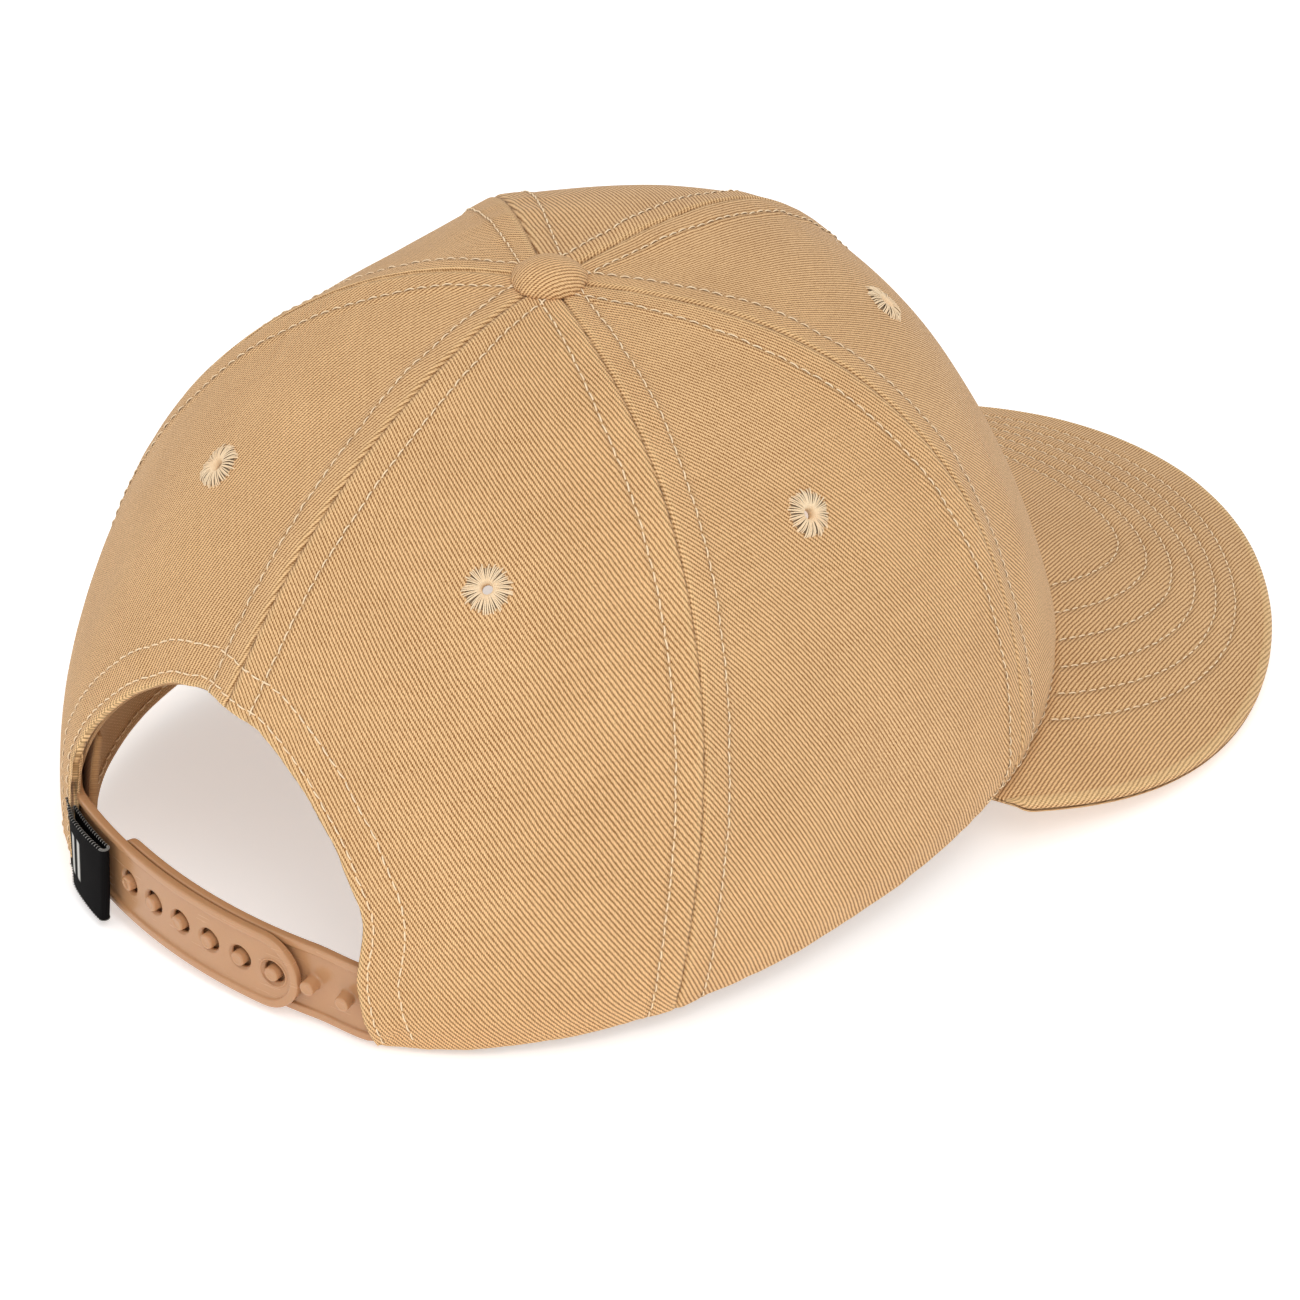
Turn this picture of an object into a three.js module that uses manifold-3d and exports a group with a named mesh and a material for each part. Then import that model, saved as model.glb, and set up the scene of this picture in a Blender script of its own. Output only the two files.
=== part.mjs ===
// A six-panel cap with a stiffened front, a curved visor and a snap strap closing an arched opening.
// Millimetres, +Z up, the visor points to -Y, the wearer's right is -X.
// The crown is drawn upright and then leaned back by restLean, the way it lies on a table.
import * as THREE from "three";
import Module from "manifold-3d";

const wasm = await Module();
wasm.setup();

// ---- driving dimensions, millimetres and degrees ----
const DEG = Math.PI / 180;
const rimFront = 111;
const rimBack = 102.5;
const rimSide = 83;
const rimSquareness = 2.38;
const crownHeight = 113;
const apexShift = -2;
const rimTuck = 2.6;
const rimTuckHeight = 10;
// profile of the crown seen from the side: front, side and back
const roundness = { front: 0.672, side: 0.788, back: 1.05 };
const fullness = { front: 0.9945, side: 0.804, back: 0.98 };
const bulge = { front: -0.053, side: 0.044, back: 0.0455 };
const panelFlatness = 0.92;
const seamFrontRim = 54;
const seamFrontTop = 58.3;
const seamBackRim = 58.8;
const seamBackTop = 64;
const seamBackBow = 2.4;
const fabric = 1.2;
const air = 0.3;
const buckram = 0.8;
const tape = 0.6;
const tapeWidth = 12;
const tapeTopRadius = 14.5;
const apexHole = 4;
const eyelets = { front: 0.585, side: 0.48, back: 0.52 };
const eyeletHole = 3.3;
const archHalfWidth = 46.9;
const archHeight = 59.2;
const facingWidth = 12;
const bandHeight = 32;
const bandDepth = 4;
const bandThickness = 1.5;
const visorCorner = 57.5;
const visorLength = 69.2;
const visorHalfWidth = 95.2;
const visorRoundness = 2.04;
const visorCornerPull = 4.8;
const visorPitch = 17.95;
const visorBend = 0.002;
const visorLift = 14.9;
const visorSkin = 0.8;
const visorBoard = 1.6;
const strapRadius = 115;
const strapY = 97.5;
const strapHeight = 17;
const strapMiddle = 10.3;
const strapRise = 0.03;
const strapHinge = 43;
const strapPlate = 1.8;
const strapRecess = 0.6;
const strapBorder = 1.9;
const strapGap = 0.15;
const holeStrapEnd = -26;
const pegStrapEnd = 25.5;
const pegPitch = 8.1;
const pegFirst = 20.4;
const pegCount = 8;
const pegRadius = 1.55;
const pegTop = 2.35;
const holeCount = 6;
const holeRadius = 2.5;
const labelFrom = 40.5;
const labelLength = 14.7;
const labelHeight = 16;
const restLean = 4.1;

const finishes = {
  twill: { color: 0xc79a66, roughness: 0.9, metalness: 0 },
  lining: { color: 0xc9a274, roughness: 0.95, metalness: 0 },
  stiffener: { color: 0xe6e1d6, roughness: 0.95, metalness: 0 },
  thread: { color: 0xdcb98c, roughness: 0.8, metalness: 0 },
  moulded: { color: 0xb98558, roughness: 0.45, metalness: 0 },
  board: { color: 0xe8e6e0, roughness: 0.6, metalness: 0 },
  metal: { color: 0xb9b7b2, roughness: 0.35, metalness: 0.9 },
  label: { color: 0x1d1d1f, roughness: 0.85, metalness: 0 },
};

const crown = new THREE.Group();

// ---- solids ----
function signedVolume(points, faces) {
  let sum = 0;
  for (const [a, b, c] of faces) {
    const cross = new THREE.Vector3().crossVectors(points[b], points[c]);
    sum += points[a].dot(cross) / 6;
  }
  return sum;
}

function solid(points, faces) {
  const outward = signedVolume(points, faces) > 0;
  const tris = faces.flatMap(([a, b, c]) => (outward ? [a, b, c] : [a, c, b]));
  const vertProperties = new Float32Array(points.flatMap((p) => [p.x, p.y, p.z]));
  const mesh = new wasm.Mesh({ numProp: 3, vertProperties, triVerts: new Uint32Array(tris) });
  mesh.merge();
  return new wasm.Manifold(mesh);
}

function quad(faces, a, b, c, d) {
  faces.push([a, b, c], [a, c, d]);
}

// A sheet of the given cell counts between two point functions of (u, v) from 0 to 1.
function sheet(cellsU, cellsV, front, back) {
  const points = [];
  const row = cellsV + 1;
  for (const side of [front, back]) {
    for (let i = 0; i <= cellsU; i++) {
      for (let j = 0; j <= cellsV; j++) points.push(side(i / cellsU, j / cellsV));
    }
  }
  const under = row * (cellsU + 1);
  const faces = [];
  const at = (i, j) => i * row + j;
  for (let i = 0; i < cellsU; i++) {
    for (let j = 0; j < cellsV; j++) {
      const [a, b, c, d] = [at(i, j), at(i + 1, j), at(i + 1, j + 1), at(i, j + 1)];
      quad(faces, a, b, c, d);
      quad(faces, under + d, under + c, under + b, under + a);
    }
  }
  for (let i = 0; i < cellsU; i++) {
    quad(faces, at(i + 1, 0), at(i, 0), under + at(i, 0), under + at(i + 1, 0));
    quad(faces, at(i, cellsV), at(i + 1, cellsV), under + at(i + 1, cellsV), under + at(i, cellsV));
  }
  for (let j = 0; j < cellsV; j++) {
    quad(faces, at(0, j), at(0, j + 1), under + at(0, j + 1), under + at(0, j));
    quad(faces, at(cellsU, j + 1), at(cellsU, j), under + at(cellsU, j), under + at(cellsU, j + 1));
  }
  return solid(points, faces);
}

// A turned solid: radius and height pairs, closed on themselves, placed by a matrix.
function turned(profile, segments, matrix) {
  const points = [];
  for (let i = 0; i < segments; i++) {
    const a = (2 * Math.PI * i) / segments;
    for (const [r, z] of profile) {
      points.push(new THREE.Vector3(r * Math.cos(a), r * Math.sin(a), z).applyMatrix4(matrix));
    }
  }
  const n = profile.length;
  const faces = [];
  for (let i = 0; i < segments; i++) {
    const next = ((i + 1) % segments) * n;
    for (let k = 0; k < n; k++) {
      const l = (k + 1) % n;
      quad(faces, i * n + k, next + k, next + l, i * n + l);
    }
  }
  return solid(points, faces);
}

// A rod along the local z of a matrix.
function rod(radius, from, to, segments, matrix) {
  const points = [];
  for (const z of [from, to]) {
    points.push(new THREE.Vector3(0, 0, z).applyMatrix4(matrix));
    for (let i = 0; i < segments; i++) {
      const a = (2 * Math.PI * i) / segments;
      const p = new THREE.Vector3(radius * Math.cos(a), radius * Math.sin(a), z);
      points.push(p.applyMatrix4(matrix));
    }
  }
  const top = segments + 1;
  const faces = [];
  for (let i = 0; i < segments; i++) {
    const [a, b] = [1 + i, 1 + ((i + 1) % segments)];
    faces.push([0, b, a], [top, top + a, top + b]);
    quad(faces, a, b, top + b, top + a);
  }
  return solid(points, faces);
}

function add(name, made, finish) {
  const source = made.getMesh();
  const geometry = new THREE.BufferGeometry();
  geometry.setAttribute("position", new THREE.BufferAttribute(source.vertProperties, 3));
  geometry.setIndex(new THREE.BufferAttribute(source.triVerts, 1));
  const mesh = new THREE.Mesh(geometry, new THREE.MeshStandardMaterial(finishes[finish]));
  mesh.name = name;
  crown.add(mesh);
}

// ---- the crown's surface ----
// Azimuth phi is counted from +X towards +Y, so the front is -90 degrees and the back is +90.
function around(phi, sizes) {
  const s = Math.sin(phi);
  return sizes.side + ((s < 0 ? sizes.front : sizes.back) - sizes.side) * s * s;
}

function rimRadius(phi) {
  const length = Math.sin(phi) < 0 ? rimFront : rimBack;
  const x = Math.pow(Math.abs(Math.cos(phi) / rimSide), rimSquareness);
  const y = Math.pow(Math.abs(Math.sin(phi) / length), rimSquareness);
  return Math.pow(x + y, -1 / rimSquareness);
}

function smooth(t) {
  const k = Math.min(1, Math.max(0, t));
  return k * k * (3 - 2 * k);
}

// The rim rises over the visor and runs out to a flat edge at the sides.
function rimHeight(phi) {
  const x = (rimRadius(phi) - rimTuck - fabric) * Math.cos(phi);
  const rise = Math.max(0, visorLift - visorBend * x * x);
  return rise * smooth(-Math.sin(phi) / 0.3);
}

function seams(t) {
  const front = (seamFrontRim + (seamFrontTop - seamFrontRim) * t) * DEG;
  const bow = seamBackBow * Math.sin(Math.PI * t);
  const back = (seamBackRim + (seamBackTop - seamBackRim) * t - bow) * DEG;
  const q = Math.PI / 2;
  return [-q, -q + front, q - back, q, q + back, 3 * q - front, 3 * q];
}

// How far a panel is drawn in from the round towards a straight line between its two seams.
function flattening(phi, t) {
  const edges = seams(t);
  const turn = 2 * Math.PI;
  const p = edges[0] + ((((phi - edges[0]) % turn) + turn) % turn);
  const k = Math.min(5, Math.max(0, edges.findIndex((e, i) => i < 6 && p <= edges[i + 1])));
  const middle = (edges[k] + edges[k + 1]) / 2;
  const half = (edges[k + 1] - edges[k]) / 2;
  const straight = Math.cos(half) / Math.cos(p - middle);
  return 1 - panelFlatness * t * (1 - straight);
}

function outerPoint(phi, t) {
  const psi = (t * Math.PI) / 2;
  const rise = Math.pow(Math.sin(psi), around(phi, fullness));
  const base = rimHeight(phi);
  const z = base + (crownHeight - base) * rise;
  const swell = 1 + around(phi, bulge) * Math.sin(Math.PI * rise);
  const scale = Math.pow(Math.cos(psi), around(phi, roundness)) * swell * flattening(phi, t);
  const low = Math.max(0, 1 - (z - base) / rimTuckHeight);
  const r = scale * rimRadius(phi) - rimTuck * low * low;
  return new THREE.Vector3(r * Math.cos(phi), r * Math.sin(phi) + apexShift * rise, z);
}

function outwardAt(phi, t) {
  const e = 0.004;
  const [t0, t1] = [Math.max(0.0005, t - e), Math.min(0.995, t + e)];
  const along = outerPoint(phi + e, t).sub(outerPoint(phi - e, t));
  const up = outerPoint(phi, t1).sub(outerPoint(phi, t0));
  return along.cross(up).normalize();
}

function crownPoint(phi, t, depth) {
  const p = outerPoint(phi, t);
  const n = outwardAt(phi, t);
  // near the rim the layers hang straight down, so that they end on one level
  const hang = smooth((0.05 - t) / 0.05);
  n.z *= 1 - hang;
  n.normalize();
  return p.addScaledVector(n, -depth);
}

function levelAt(phi, z) {
  const base = rimHeight(phi);
  const rise = Math.min(1, Math.max(0, (z - base) / (crownHeight - base)));
  return (Math.asin(Math.pow(rise, 1 / around(phi, fullness))) * 2) / Math.PI;
}

function levelOfRadius(phi, radius) {
  let [low, high] = [0, 1];
  for (let i = 0; i < 40; i++) {
    const middle = (low + high) / 2;
    const p = outerPoint(phi, middle);
    if (Math.hypot(p.x, p.y - apexShift) > radius) low = middle;
    else high = middle;
  }
  return low;
}

// The back of the crown at a given x and height.
function backPoint(x, z, depth) {
  let [low, high] = [15 * DEG, 165 * DEG];
  for (let i = 0; i < 40; i++) {
    const middle = (low + high) / 2;
    if (outerPoint(middle, levelAt(middle, z)).x > x) low = middle;
    else high = middle;
  }
  return crownPoint(low, levelAt(low, z), depth);
}

// A frame whose z leaves the crown at a point of its surface.
function frameAt(phi, t) {
  const n = outwardAt(phi, t);
  const turn = new THREE.Quaternion().setFromUnitVectors(new THREE.Vector3(0, 0, 1), n);
  return new THREE.Matrix4().compose(outerPoint(phi, t), turn, new THREE.Vector3(1, 1, 1));
}

// ---- crown pieces ----
const panels = [
  { name: "front_panel_left", seam: 0, eye: "front", buckram: "front_buckram_left" },
  { name: "side_panel_left", seam: 1, eye: "side" },
  { name: "back_panel_left", seam: 2, eye: "back" },
  { name: "back_panel_right", seam: 3, eye: "back" },
  { name: "side_panel_right", seam: 4, eye: "side" },
  { name: "front_panel_right", seam: 5, eye: "front", buckram: "front_buckram_right" },
];

// Levels up the crown that every layer shares, close together where the rim turns in.
const levels = [0, 0.012, 0.03, 0.06, 0.11, 0.17, 0.24, 0.33, 0.44, 0.55, 0.66, 0.76, 0.86, 0.94];

// The shared levels between two ends, with the ends themselves.
function levelsBetween(low, high) {
  return [low, ...levels.filter((t) => t > low + 0.004 && t < high - 0.02), high];
}

// A panel's layer: depth from and to, how far it stays from its seams, and the levels it spans.
// Two panels meet at a ridge, so the deeper a layer lies, the further it stays from the seam.
function panelLayer(panel, from, to, margin, low, top) {
  const rows = levelsBetween(low, top);
  const place = (u, v, depth) => {
    const t = rows[Math.round(v * (rows.length - 1))];
    const edges = seams(t);
    const half = (edges[panel.seam + 1] - edges[panel.seam]) / 2;
    const ridge = depth * Math.tan(panelFlatness * t * half);
    const seamPoint = outerPoint(edges[panel.seam], t);
    const gap = (margin + ridge) / Math.max(2, Math.hypot(seamPoint.x, seamPoint.y - apexShift));
    const phi = edges[panel.seam] + gap;
    const end = edges[panel.seam + 1] - gap;
    return crownPoint(phi + (end - phi) * u, t, depth);
  };
  return sheet(9, rows.length - 1, (u, v) => place(u, v, from), (u, v) => place(u, v, to));
}

function eyeletFrame(panel) {
  const t = eyelets[panel.eye];
  const edges = seams(t);
  return frameAt((edges[panel.seam] + edges[panel.seam + 1]) / 2, t);
}

function archCutter() {
  const shape = [];
  const steps = 28;
  for (let i = 0; i <= steps; i++) {
    const a = (Math.PI * i) / steps;
    shape.push([archHalfWidth * Math.cos(a), archHeight * Math.sin(a)]);
  }
  shape.push([-archHalfWidth, -5], [archHalfWidth, -5]);
  const points = [30, 130].flatMap((y) => shape.map(([x, z]) => new THREE.Vector3(x, y, z)));
  const n = shape.length;
  const outline = shape.map(([x, z]) => new THREE.Vector2(x, z));
  const caps = THREE.ShapeUtils.triangulateShape(outline, []);
  const faces = caps.flatMap(([a, b, c]) => [[a, b, c], [n + a, n + c, n + b]]);
  for (let i = 0; i < n; i++) quad(faces, (i + 1) % n, i, n + i, n + ((i + 1) % n));
  return solid(points, faces);
}

function crownPanels() {
  const arch = archCutter();
  for (const panel of panels) {
    const apex = levelOfRadius(seams(1)[panel.seam], apexHole);
    const eye = rod(eyeletHole, -6, 6, 14, eyeletFrame(panel));
    let cloth = panelLayer(panel, 0, fabric, 0.15, 0, apex).subtract(eye);
    if (panel.eye === "back") cloth = cloth.subtract(arch);
    add(panel.name, cloth, "twill");
    if (panel.buckram) {
      const depth = fabric + air;
      const layer = panelLayer(panel, depth, depth + buckram, 0.3, 0.012, 0.86).subtract(eye);
      add(panel.buckram, layer, "stiffener");
    }
  }
}

const seamTapes = [
  { name: "seam_tape_front", seam: 0, behindBuckram: true },
  { name: "seam_tape_front_left", seam: 1, behindBuckram: true },
  { name: "seam_tape_back_left", seam: 2 },
  { name: "seam_tape_back", seam: 3, from: archHeight + facingWidth + 2 },
  { name: "seam_tape_back_right", seam: 4 },
  { name: "seam_tape_front_right", seam: 5, behindBuckram: true },
];

function crownTapes() {
  for (const piece of seamTapes) {
    const depth = fabric + air + (piece.behindBuckram ? buckram + air : 0);
    const foot = seams(0)[piece.seam];
    const low = levelAt(foot, rimHeight(foot) + 1.5 + (piece.from || 0));
    const high = levelOfRadius(seams(1)[piece.seam], tapeTopRadius);
    const rows = levelsBetween(low, high);
    const place = (u, v, d) => {
      const t = rows[Math.round(v * (rows.length - 1))];
      const phi = seams(t)[piece.seam];
      const p = outerPoint(phi, t);
      const half = tapeWidth / 2 / Math.hypot(p.x, p.y - apexShift);
      return crownPoint(phi + (2 * u - 1) * half, t, d);
    };
    const cells = rows.length - 1;
    const made = sheet(2, cells, (u, v) => place(u, v, depth), (u, v) => place(u, v, depth + tape));
    add(piece.name, made, "lining");
  }
}

function sweatband() {
  const bandRows = [0, 0.1, 0.2, 0.31, 0.62, 1];
  const end = 90 - Math.atan2(archHalfWidth + 1, rimBack - 12) / DEG;
  const from = (180 - end) * DEG;
  const to = (360 + end) * DEG;
  const place = (u, v, depth) => {
    const phi = from + (to - from) * u;
    const z = rimHeight(phi) + 0.8 + bandHeight * bandRows[Math.round(v * (bandRows.length - 1))];
    return crownPoint(phi, levelAt(phi, z), depth);
  };
  const outer = (u, v) => place(u, v, bandDepth);
  const inner = (u, v) => place(u, v, bandDepth + bandThickness);
  add("sweatband", sheet(38, 5, outer, inner), "lining");
}

function archFacing() {
  const start = 1.2 / archHeight;
  const place = (u, v, depth) => {
    const eased = 0.5 * u + 0.25 * (1 - Math.cos(Math.PI * u));
    const a = start + (Math.PI - 2 * start) * eased;
    const out = 0.3 + facingWidth * v;
    const z = Math.max(1, (archHeight + out) * Math.sin(a));
    return backPoint((archHalfWidth + out) * Math.cos(a), z, depth);
  };
  const depth = fabric + 2.3 * air;
  const made = sheet(28, 3, (u, v) => place(u, v, depth), (u, v) => place(u, v, depth + tape));
  add("arch_facing", made, "lining");
}

function eyeletRings() {
  for (const panel of panels) {
    const through = panel.buckram ? fabric + air + buckram : fabric;
    const [bore, barrel, flange] = [1.25, eyeletHole - air, 5];
    const profile = [
      [bore, -through],
      [barrel, -through],
      [barrel, air],
      [flange, air],
      [flange - 0.5, air + 0.8],
      [bore, air + 0.8],
    ];
    const name = "eyelet_" + panel.name.replace("_panel", "");
    add(name, turned(profile, 14, eyeletFrame(panel)), "thread");
  }
}

function topButton() {
  const at = new THREE.Matrix4().makeTranslation(0, apexShift, crownHeight + air);
  const cover = [
    [0.01, 4.2],
    [3.4, 3.9],
    [6, 2.7],
    [7.5, 0.3],
    [7.3, 0],
    [6.6, 0],
    [5.4, 2],
    [3.1, 3.1],
    [0.01, 3.4],
  ];
  const shell = [
    [0.01, 3.1],
    [3, 2.8],
    [5.1, 1.75],
    [6.1, 0.1],
    [5.4, 0.1],
    [4.6, 1.3],
    [2.8, 2.1],
    [0.01, 2.3],
  ];
  const rivet = [
    [0.01, 1.2],
    [3.2, 1.2],
    [3.2, 0.5],
    [1.6, 0.5],
    [1.6, -5.5],
    [6.5, -5.5],
    [6.5, -6.3],
    [0.01, -6.3],
  ];
  const solidTurn = (profile) => turned(profile, 16, at).add(rod(0.02, profile.at(-1)[1], profile[0][1], 16, at));
  add("button_cover", solidTurn(cover), "twill");
  add("button_shell", solidTurn(shell), "metal");
  add("button_rivet", solidTurn(rivet), "metal");
}

// ---- visor ----
// u runs from the wearer's right corner to the left one, v from the crown to the outer edge.
function visorPoint(u, v, depth) {
  const corner = visorCorner * DEG;
  const phi = -Math.PI / 2 + u * corner;
  const inside = 3.1;
  const r = rimRadius(phi) - rimTuck;
  const inner = new THREE.Vector2((r - inside) * Math.cos(phi), (r - inside) * Math.sin(phi));
  const rc = rimRadius(-Math.PI / 2 + corner);
  const [cornerX, cornerY] = [rc * Math.sin(corner), -rc * Math.cos(corner)];
  const e = 2 / visorRoundness;
  const a = (u * Math.PI) / 2;
  const reach = rimFront + visorLength + cornerY;
  const pull = Math.pow(Math.abs(u), visorCornerPull);
  const wide = Math.pow(Math.abs(Math.sin(a)), e) * visorHalfWidth;
  const outer = new THREE.Vector2(
    Math.sign(u) * (wide * (1 - pull) + cornerX * pull),
    cornerY - reach * Math.pow(Math.abs(Math.cos(a)), e),
  );
  const x = inner.x + (outer.x - inner.x) * v;
  const y = inner.y + (outer.y - inner.y) * v;
  const fall = Math.tan(visorPitch * DEG) * Math.max(0, r * Math.sin(phi) - y);
  return new THREE.Vector3(x, y, visorLift - visorBend * x * x - fall - depth);
}

// A layer of the visor; an inset one stops short of the edge and of both corners.
function visorLayer(from, to, inset) {
  const cells = 22;
  const skip = inset > 0 ? 1 : 0;
  const wide = (cells - 2 * skip) / cells;
  const place = (u, v, depth) => visorPoint((2 * u - 1) * wide, v * (1 - inset), depth);
  return sheet(cells - 2 * skip, 4, (u, v) => place(u, v, from), (u, v) => place(u, v, to));
}

function visor() {
  const top = air;
  const board = top + visorSkin + air;
  const under = board + visorBoard + air;
  const lip = sheet(
    22,
    1,
    (u, v) => visorPoint(2 * u - 1, 1 - 0.014 * v, top + 0.1),
    (u, v) => visorPoint(2 * u - 1, 1 - 0.014 * v, under - air),
  );
  add("visor_cover_top", visorLayer(top, top + visorSkin, 0).add(lip), "twill");
  add("visor_board", visorLayer(board, board + visorBoard, 0.035), "board");
  add("visor_cover_bottom", visorLayer(under, under + visorSkin, 0), "twill");
}

// ---- snap strap ----
// s runs along the strap towards the wearer's left, w is outward from the strap's middle.
function strapPoint(s, w, z) {
  const a = s / strapRadius;
  const r = strapRadius + w;
  return new THREE.Vector3(r * Math.sin(a), strapY - strapRadius + r * Math.cos(a), z);
}

function strapLevel(s) {
  return strapMiddle + strapRise * s;
}

// The peg strap comes out from directly under the cloth and drops behind the other one.
function pegJog(s) {
  return 1.6 * smooth((-s - 28) / 14);
}

// A bent plate from one end to a round other end.
function strapPlateSolid(root, tip, half, low, high, jog) {
  const way = Math.sign(tip - root);
  const columns = 14;
  const straight = tip - way * half;
  const stations = [];
  for (let i = 0; i <= columns; i++) stations.push(root + ((straight - root) * i) / columns);
  for (let i = 1; i <= 8; i++) stations.push(straight + way * half * Math.sin((i * 88 * DEG) / 8));
  const place = (u, v, w) => {
    const s = stations[Math.round(u * (stations.length - 1))];
    const past = Math.max(0, (s - straight) * way) / half;
    const reach = half * Math.sqrt(Math.max(0, 1 - past * past));
    return strapPoint(s, w + jog(s), strapLevel(s) + (2 * v - 1) * reach);
  };
  return sheet(stations.length - 1, 1, (u, v) => place(u, v, high), (u, v) => place(u, v, low));
}

function strapAxis(s, jog) {
  const z = new THREE.Vector3(Math.sin(s / strapRadius), Math.cos(s / strapRadius), 0);
  const turn = new THREE.Quaternion().setFromUnitVectors(new THREE.Vector3(0, 0, 1), z);
  const at = strapPoint(s, jog(s), strapLevel(s));
  return new THREE.Matrix4().compose(at, turn, new THREE.Vector3(1, 1, 1));
}

function recessedStrap(root, tip, low, jog) {
  const half = strapHeight / 2;
  const way = Math.sign(tip - root);
  const high = low + strapPlate;
  const plate = strapPlateSolid(root, tip, half, low, high, jog);
  const open = root - way * 2;
  const inner = half - strapBorder;
  const recess = strapPlateSolid(open, tip - way * strapBorder, inner, high - strapRecess, high + 2, jog);
  return plate.subtract(recess);
}

function straps() {
  const still = () => 0;
  const outerLow = strapGap;
  const innerLow = -strapGap - strapPlate;
  let holes = recessedStrap(strapHinge, holeStrapEnd, outerLow, still);
  let pegs = recessedStrap(-strapHinge, pegStrapEnd, innerLow, pegJog);
  const field = innerLow + strapPlate - strapRecess;
  for (let i = 0; i < pegCount; i++) {
    const s = pegFirst - i * pegPitch;
    pegs = pegs.add(rod(pegRadius, field - 0.4, pegTop, 10, strapAxis(s, pegJog)));
  }
  for (let i = 0; i < holeCount; i++) {
    const s = pegFirst - i * pegPitch;
    holes = holes.subtract(rod(holeRadius, -3, 6, 12, strapAxis(s, still)));
  }
  add("hole_strap", holes, "moulded");
  add("peg_strap", pegs, "moulded");
}

// The ends of both straps, sewn between the crown and the sweatband.
function strapRoots() {
  for (const [name, side] of [["hole_strap_root", 1], ["peg_strap_root", -1]]) {
    const place = (u, v, depth) => {
      const x = side * (strapHinge + 1.2 + 13 * u);
      const z = strapLevel(side * strapHinge) + (v - 0.5) * (strapHeight - 1);
      return backPoint(x, Math.max(1, z), depth);
    };
    const from = fabric + 3.5 * air + tape;
    const made = sheet(4, 3, (u, v) => place(u, v, from), (u, v) => place(u, v, from + 0.8));
    add(name, made, "moulded");
  }
}

// A woven tab folded back on itself, its fold at the free end.
function sideLabel() {
  const [near, far, cloth] = [2.5, 4.2, 0.5];
  const path = [];
  const steps = 5;
  const radius = (far - near) / 2;
  const stop = labelFrom - labelLength + radius;
  for (let i = 0; i <= steps; i++) path.push([labelFrom + ((stop - labelFrom) * i) / steps, near]);
  for (let i = 1; i < 6; i++) {
    const a = (Math.PI * i) / 6;
    path.push([stop - radius * Math.sin(a), near + radius * (1 - Math.cos(a))]);
  }
  for (let i = steps; i >= 0; i--) path.push([labelFrom + ((stop - labelFrom) * i) / steps, far]);
  const inwards = (k) => {
    const [a, b] = [path[Math.max(0, k - 1)], path[Math.min(path.length - 1, k + 1)]];
    const d = Math.hypot(b[0] - a[0], b[1] - a[1]);
    return [(b[1] - a[1]) / d, -(b[0] - a[0]) / d];
  };
  const last = path.length - 1;
  const place = (u, v, shift) => {
    const k = Math.round(u * last);
    const [nx, nw] = inwards(k);
    const z = 0.8 + labelHeight * v;
    return strapPoint(path[k][0] + nx * shift, path[k][1] + nw * shift, z);
  };
  add("side_label", sheet(last, 1, (u, v) => place(u, v, 0), (u, v) => place(u, v, cloth)), "label");
}

crownPanels();
crownTapes();
sweatband();
archFacing();
eyeletRings();
topButton();
visor();
straps();
strapRoots();
sideLabel();

crown.rotation.x = -restLean * DEG;
const cap = new THREE.Group();
cap.add(crown);
cap.updateMatrixWorld(true);
const box = new THREE.Box3().setFromObject(cap, true);
crown.position.set(-(box.min.x + box.max.x) / 2, -(box.min.y + box.max.y) / 2, -box.min.z);

export default cap;
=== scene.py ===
"""A six-panel cap with a curved visor and a snap strap, modelled over its CAD frame.

Shapes are worked out in millimetres in the crown frame: +Z up, the visor towards -Y,
the wearer's left towards +X. to_row() then leans them back the way the cap rests.
"""

import math
from functools import partialmethod

import bmesh
import bpy
import numpy as np
from mathutils import Matrix, Vector
from mathutils.geometry import delaunay_2d_cdt
from numpy import concatenate as join, clip, linspace, stack


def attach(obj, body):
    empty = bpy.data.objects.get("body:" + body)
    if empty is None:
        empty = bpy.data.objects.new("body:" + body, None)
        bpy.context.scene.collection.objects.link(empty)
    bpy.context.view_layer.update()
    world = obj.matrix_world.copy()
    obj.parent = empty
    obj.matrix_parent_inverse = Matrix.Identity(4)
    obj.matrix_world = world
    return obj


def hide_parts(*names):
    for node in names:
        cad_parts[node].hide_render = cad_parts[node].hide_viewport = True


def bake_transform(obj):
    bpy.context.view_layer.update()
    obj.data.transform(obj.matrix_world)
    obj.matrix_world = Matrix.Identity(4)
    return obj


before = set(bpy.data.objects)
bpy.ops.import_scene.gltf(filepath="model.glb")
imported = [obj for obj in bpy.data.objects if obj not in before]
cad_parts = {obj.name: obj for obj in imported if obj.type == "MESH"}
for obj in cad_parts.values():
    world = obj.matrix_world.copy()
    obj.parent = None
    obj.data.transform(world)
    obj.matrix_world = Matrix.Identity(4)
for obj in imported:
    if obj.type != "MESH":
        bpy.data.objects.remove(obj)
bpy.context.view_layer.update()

DEG = math.pi / 180
MM = 0.001
TURN = 2 * math.pi

# ---- the crown's outline and profile: front, side and back values ----
RIM_FRONT, RIM_BACK, RIM_SIDE, RIM_POWER = 111.15, 102.37, 83.1, 2.377
HEIGHT, APEX_Y, APEX_X = 113.09, -1.98, -0.62
ROUNDNESS = (0.6723, 0.7883, 1.0494)
FULLNESS = (0.9945, 0.8042, 0.9816)
BULGE = (-0.0532, 0.0439, 0.0455)
FLATNESS = 0.9226
TUCK, TUCK_HEIGHT = 2.6, 10.0
LIFT, BEND, PITCH = 14.87, 0.002, 17.95 * DEG
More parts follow.
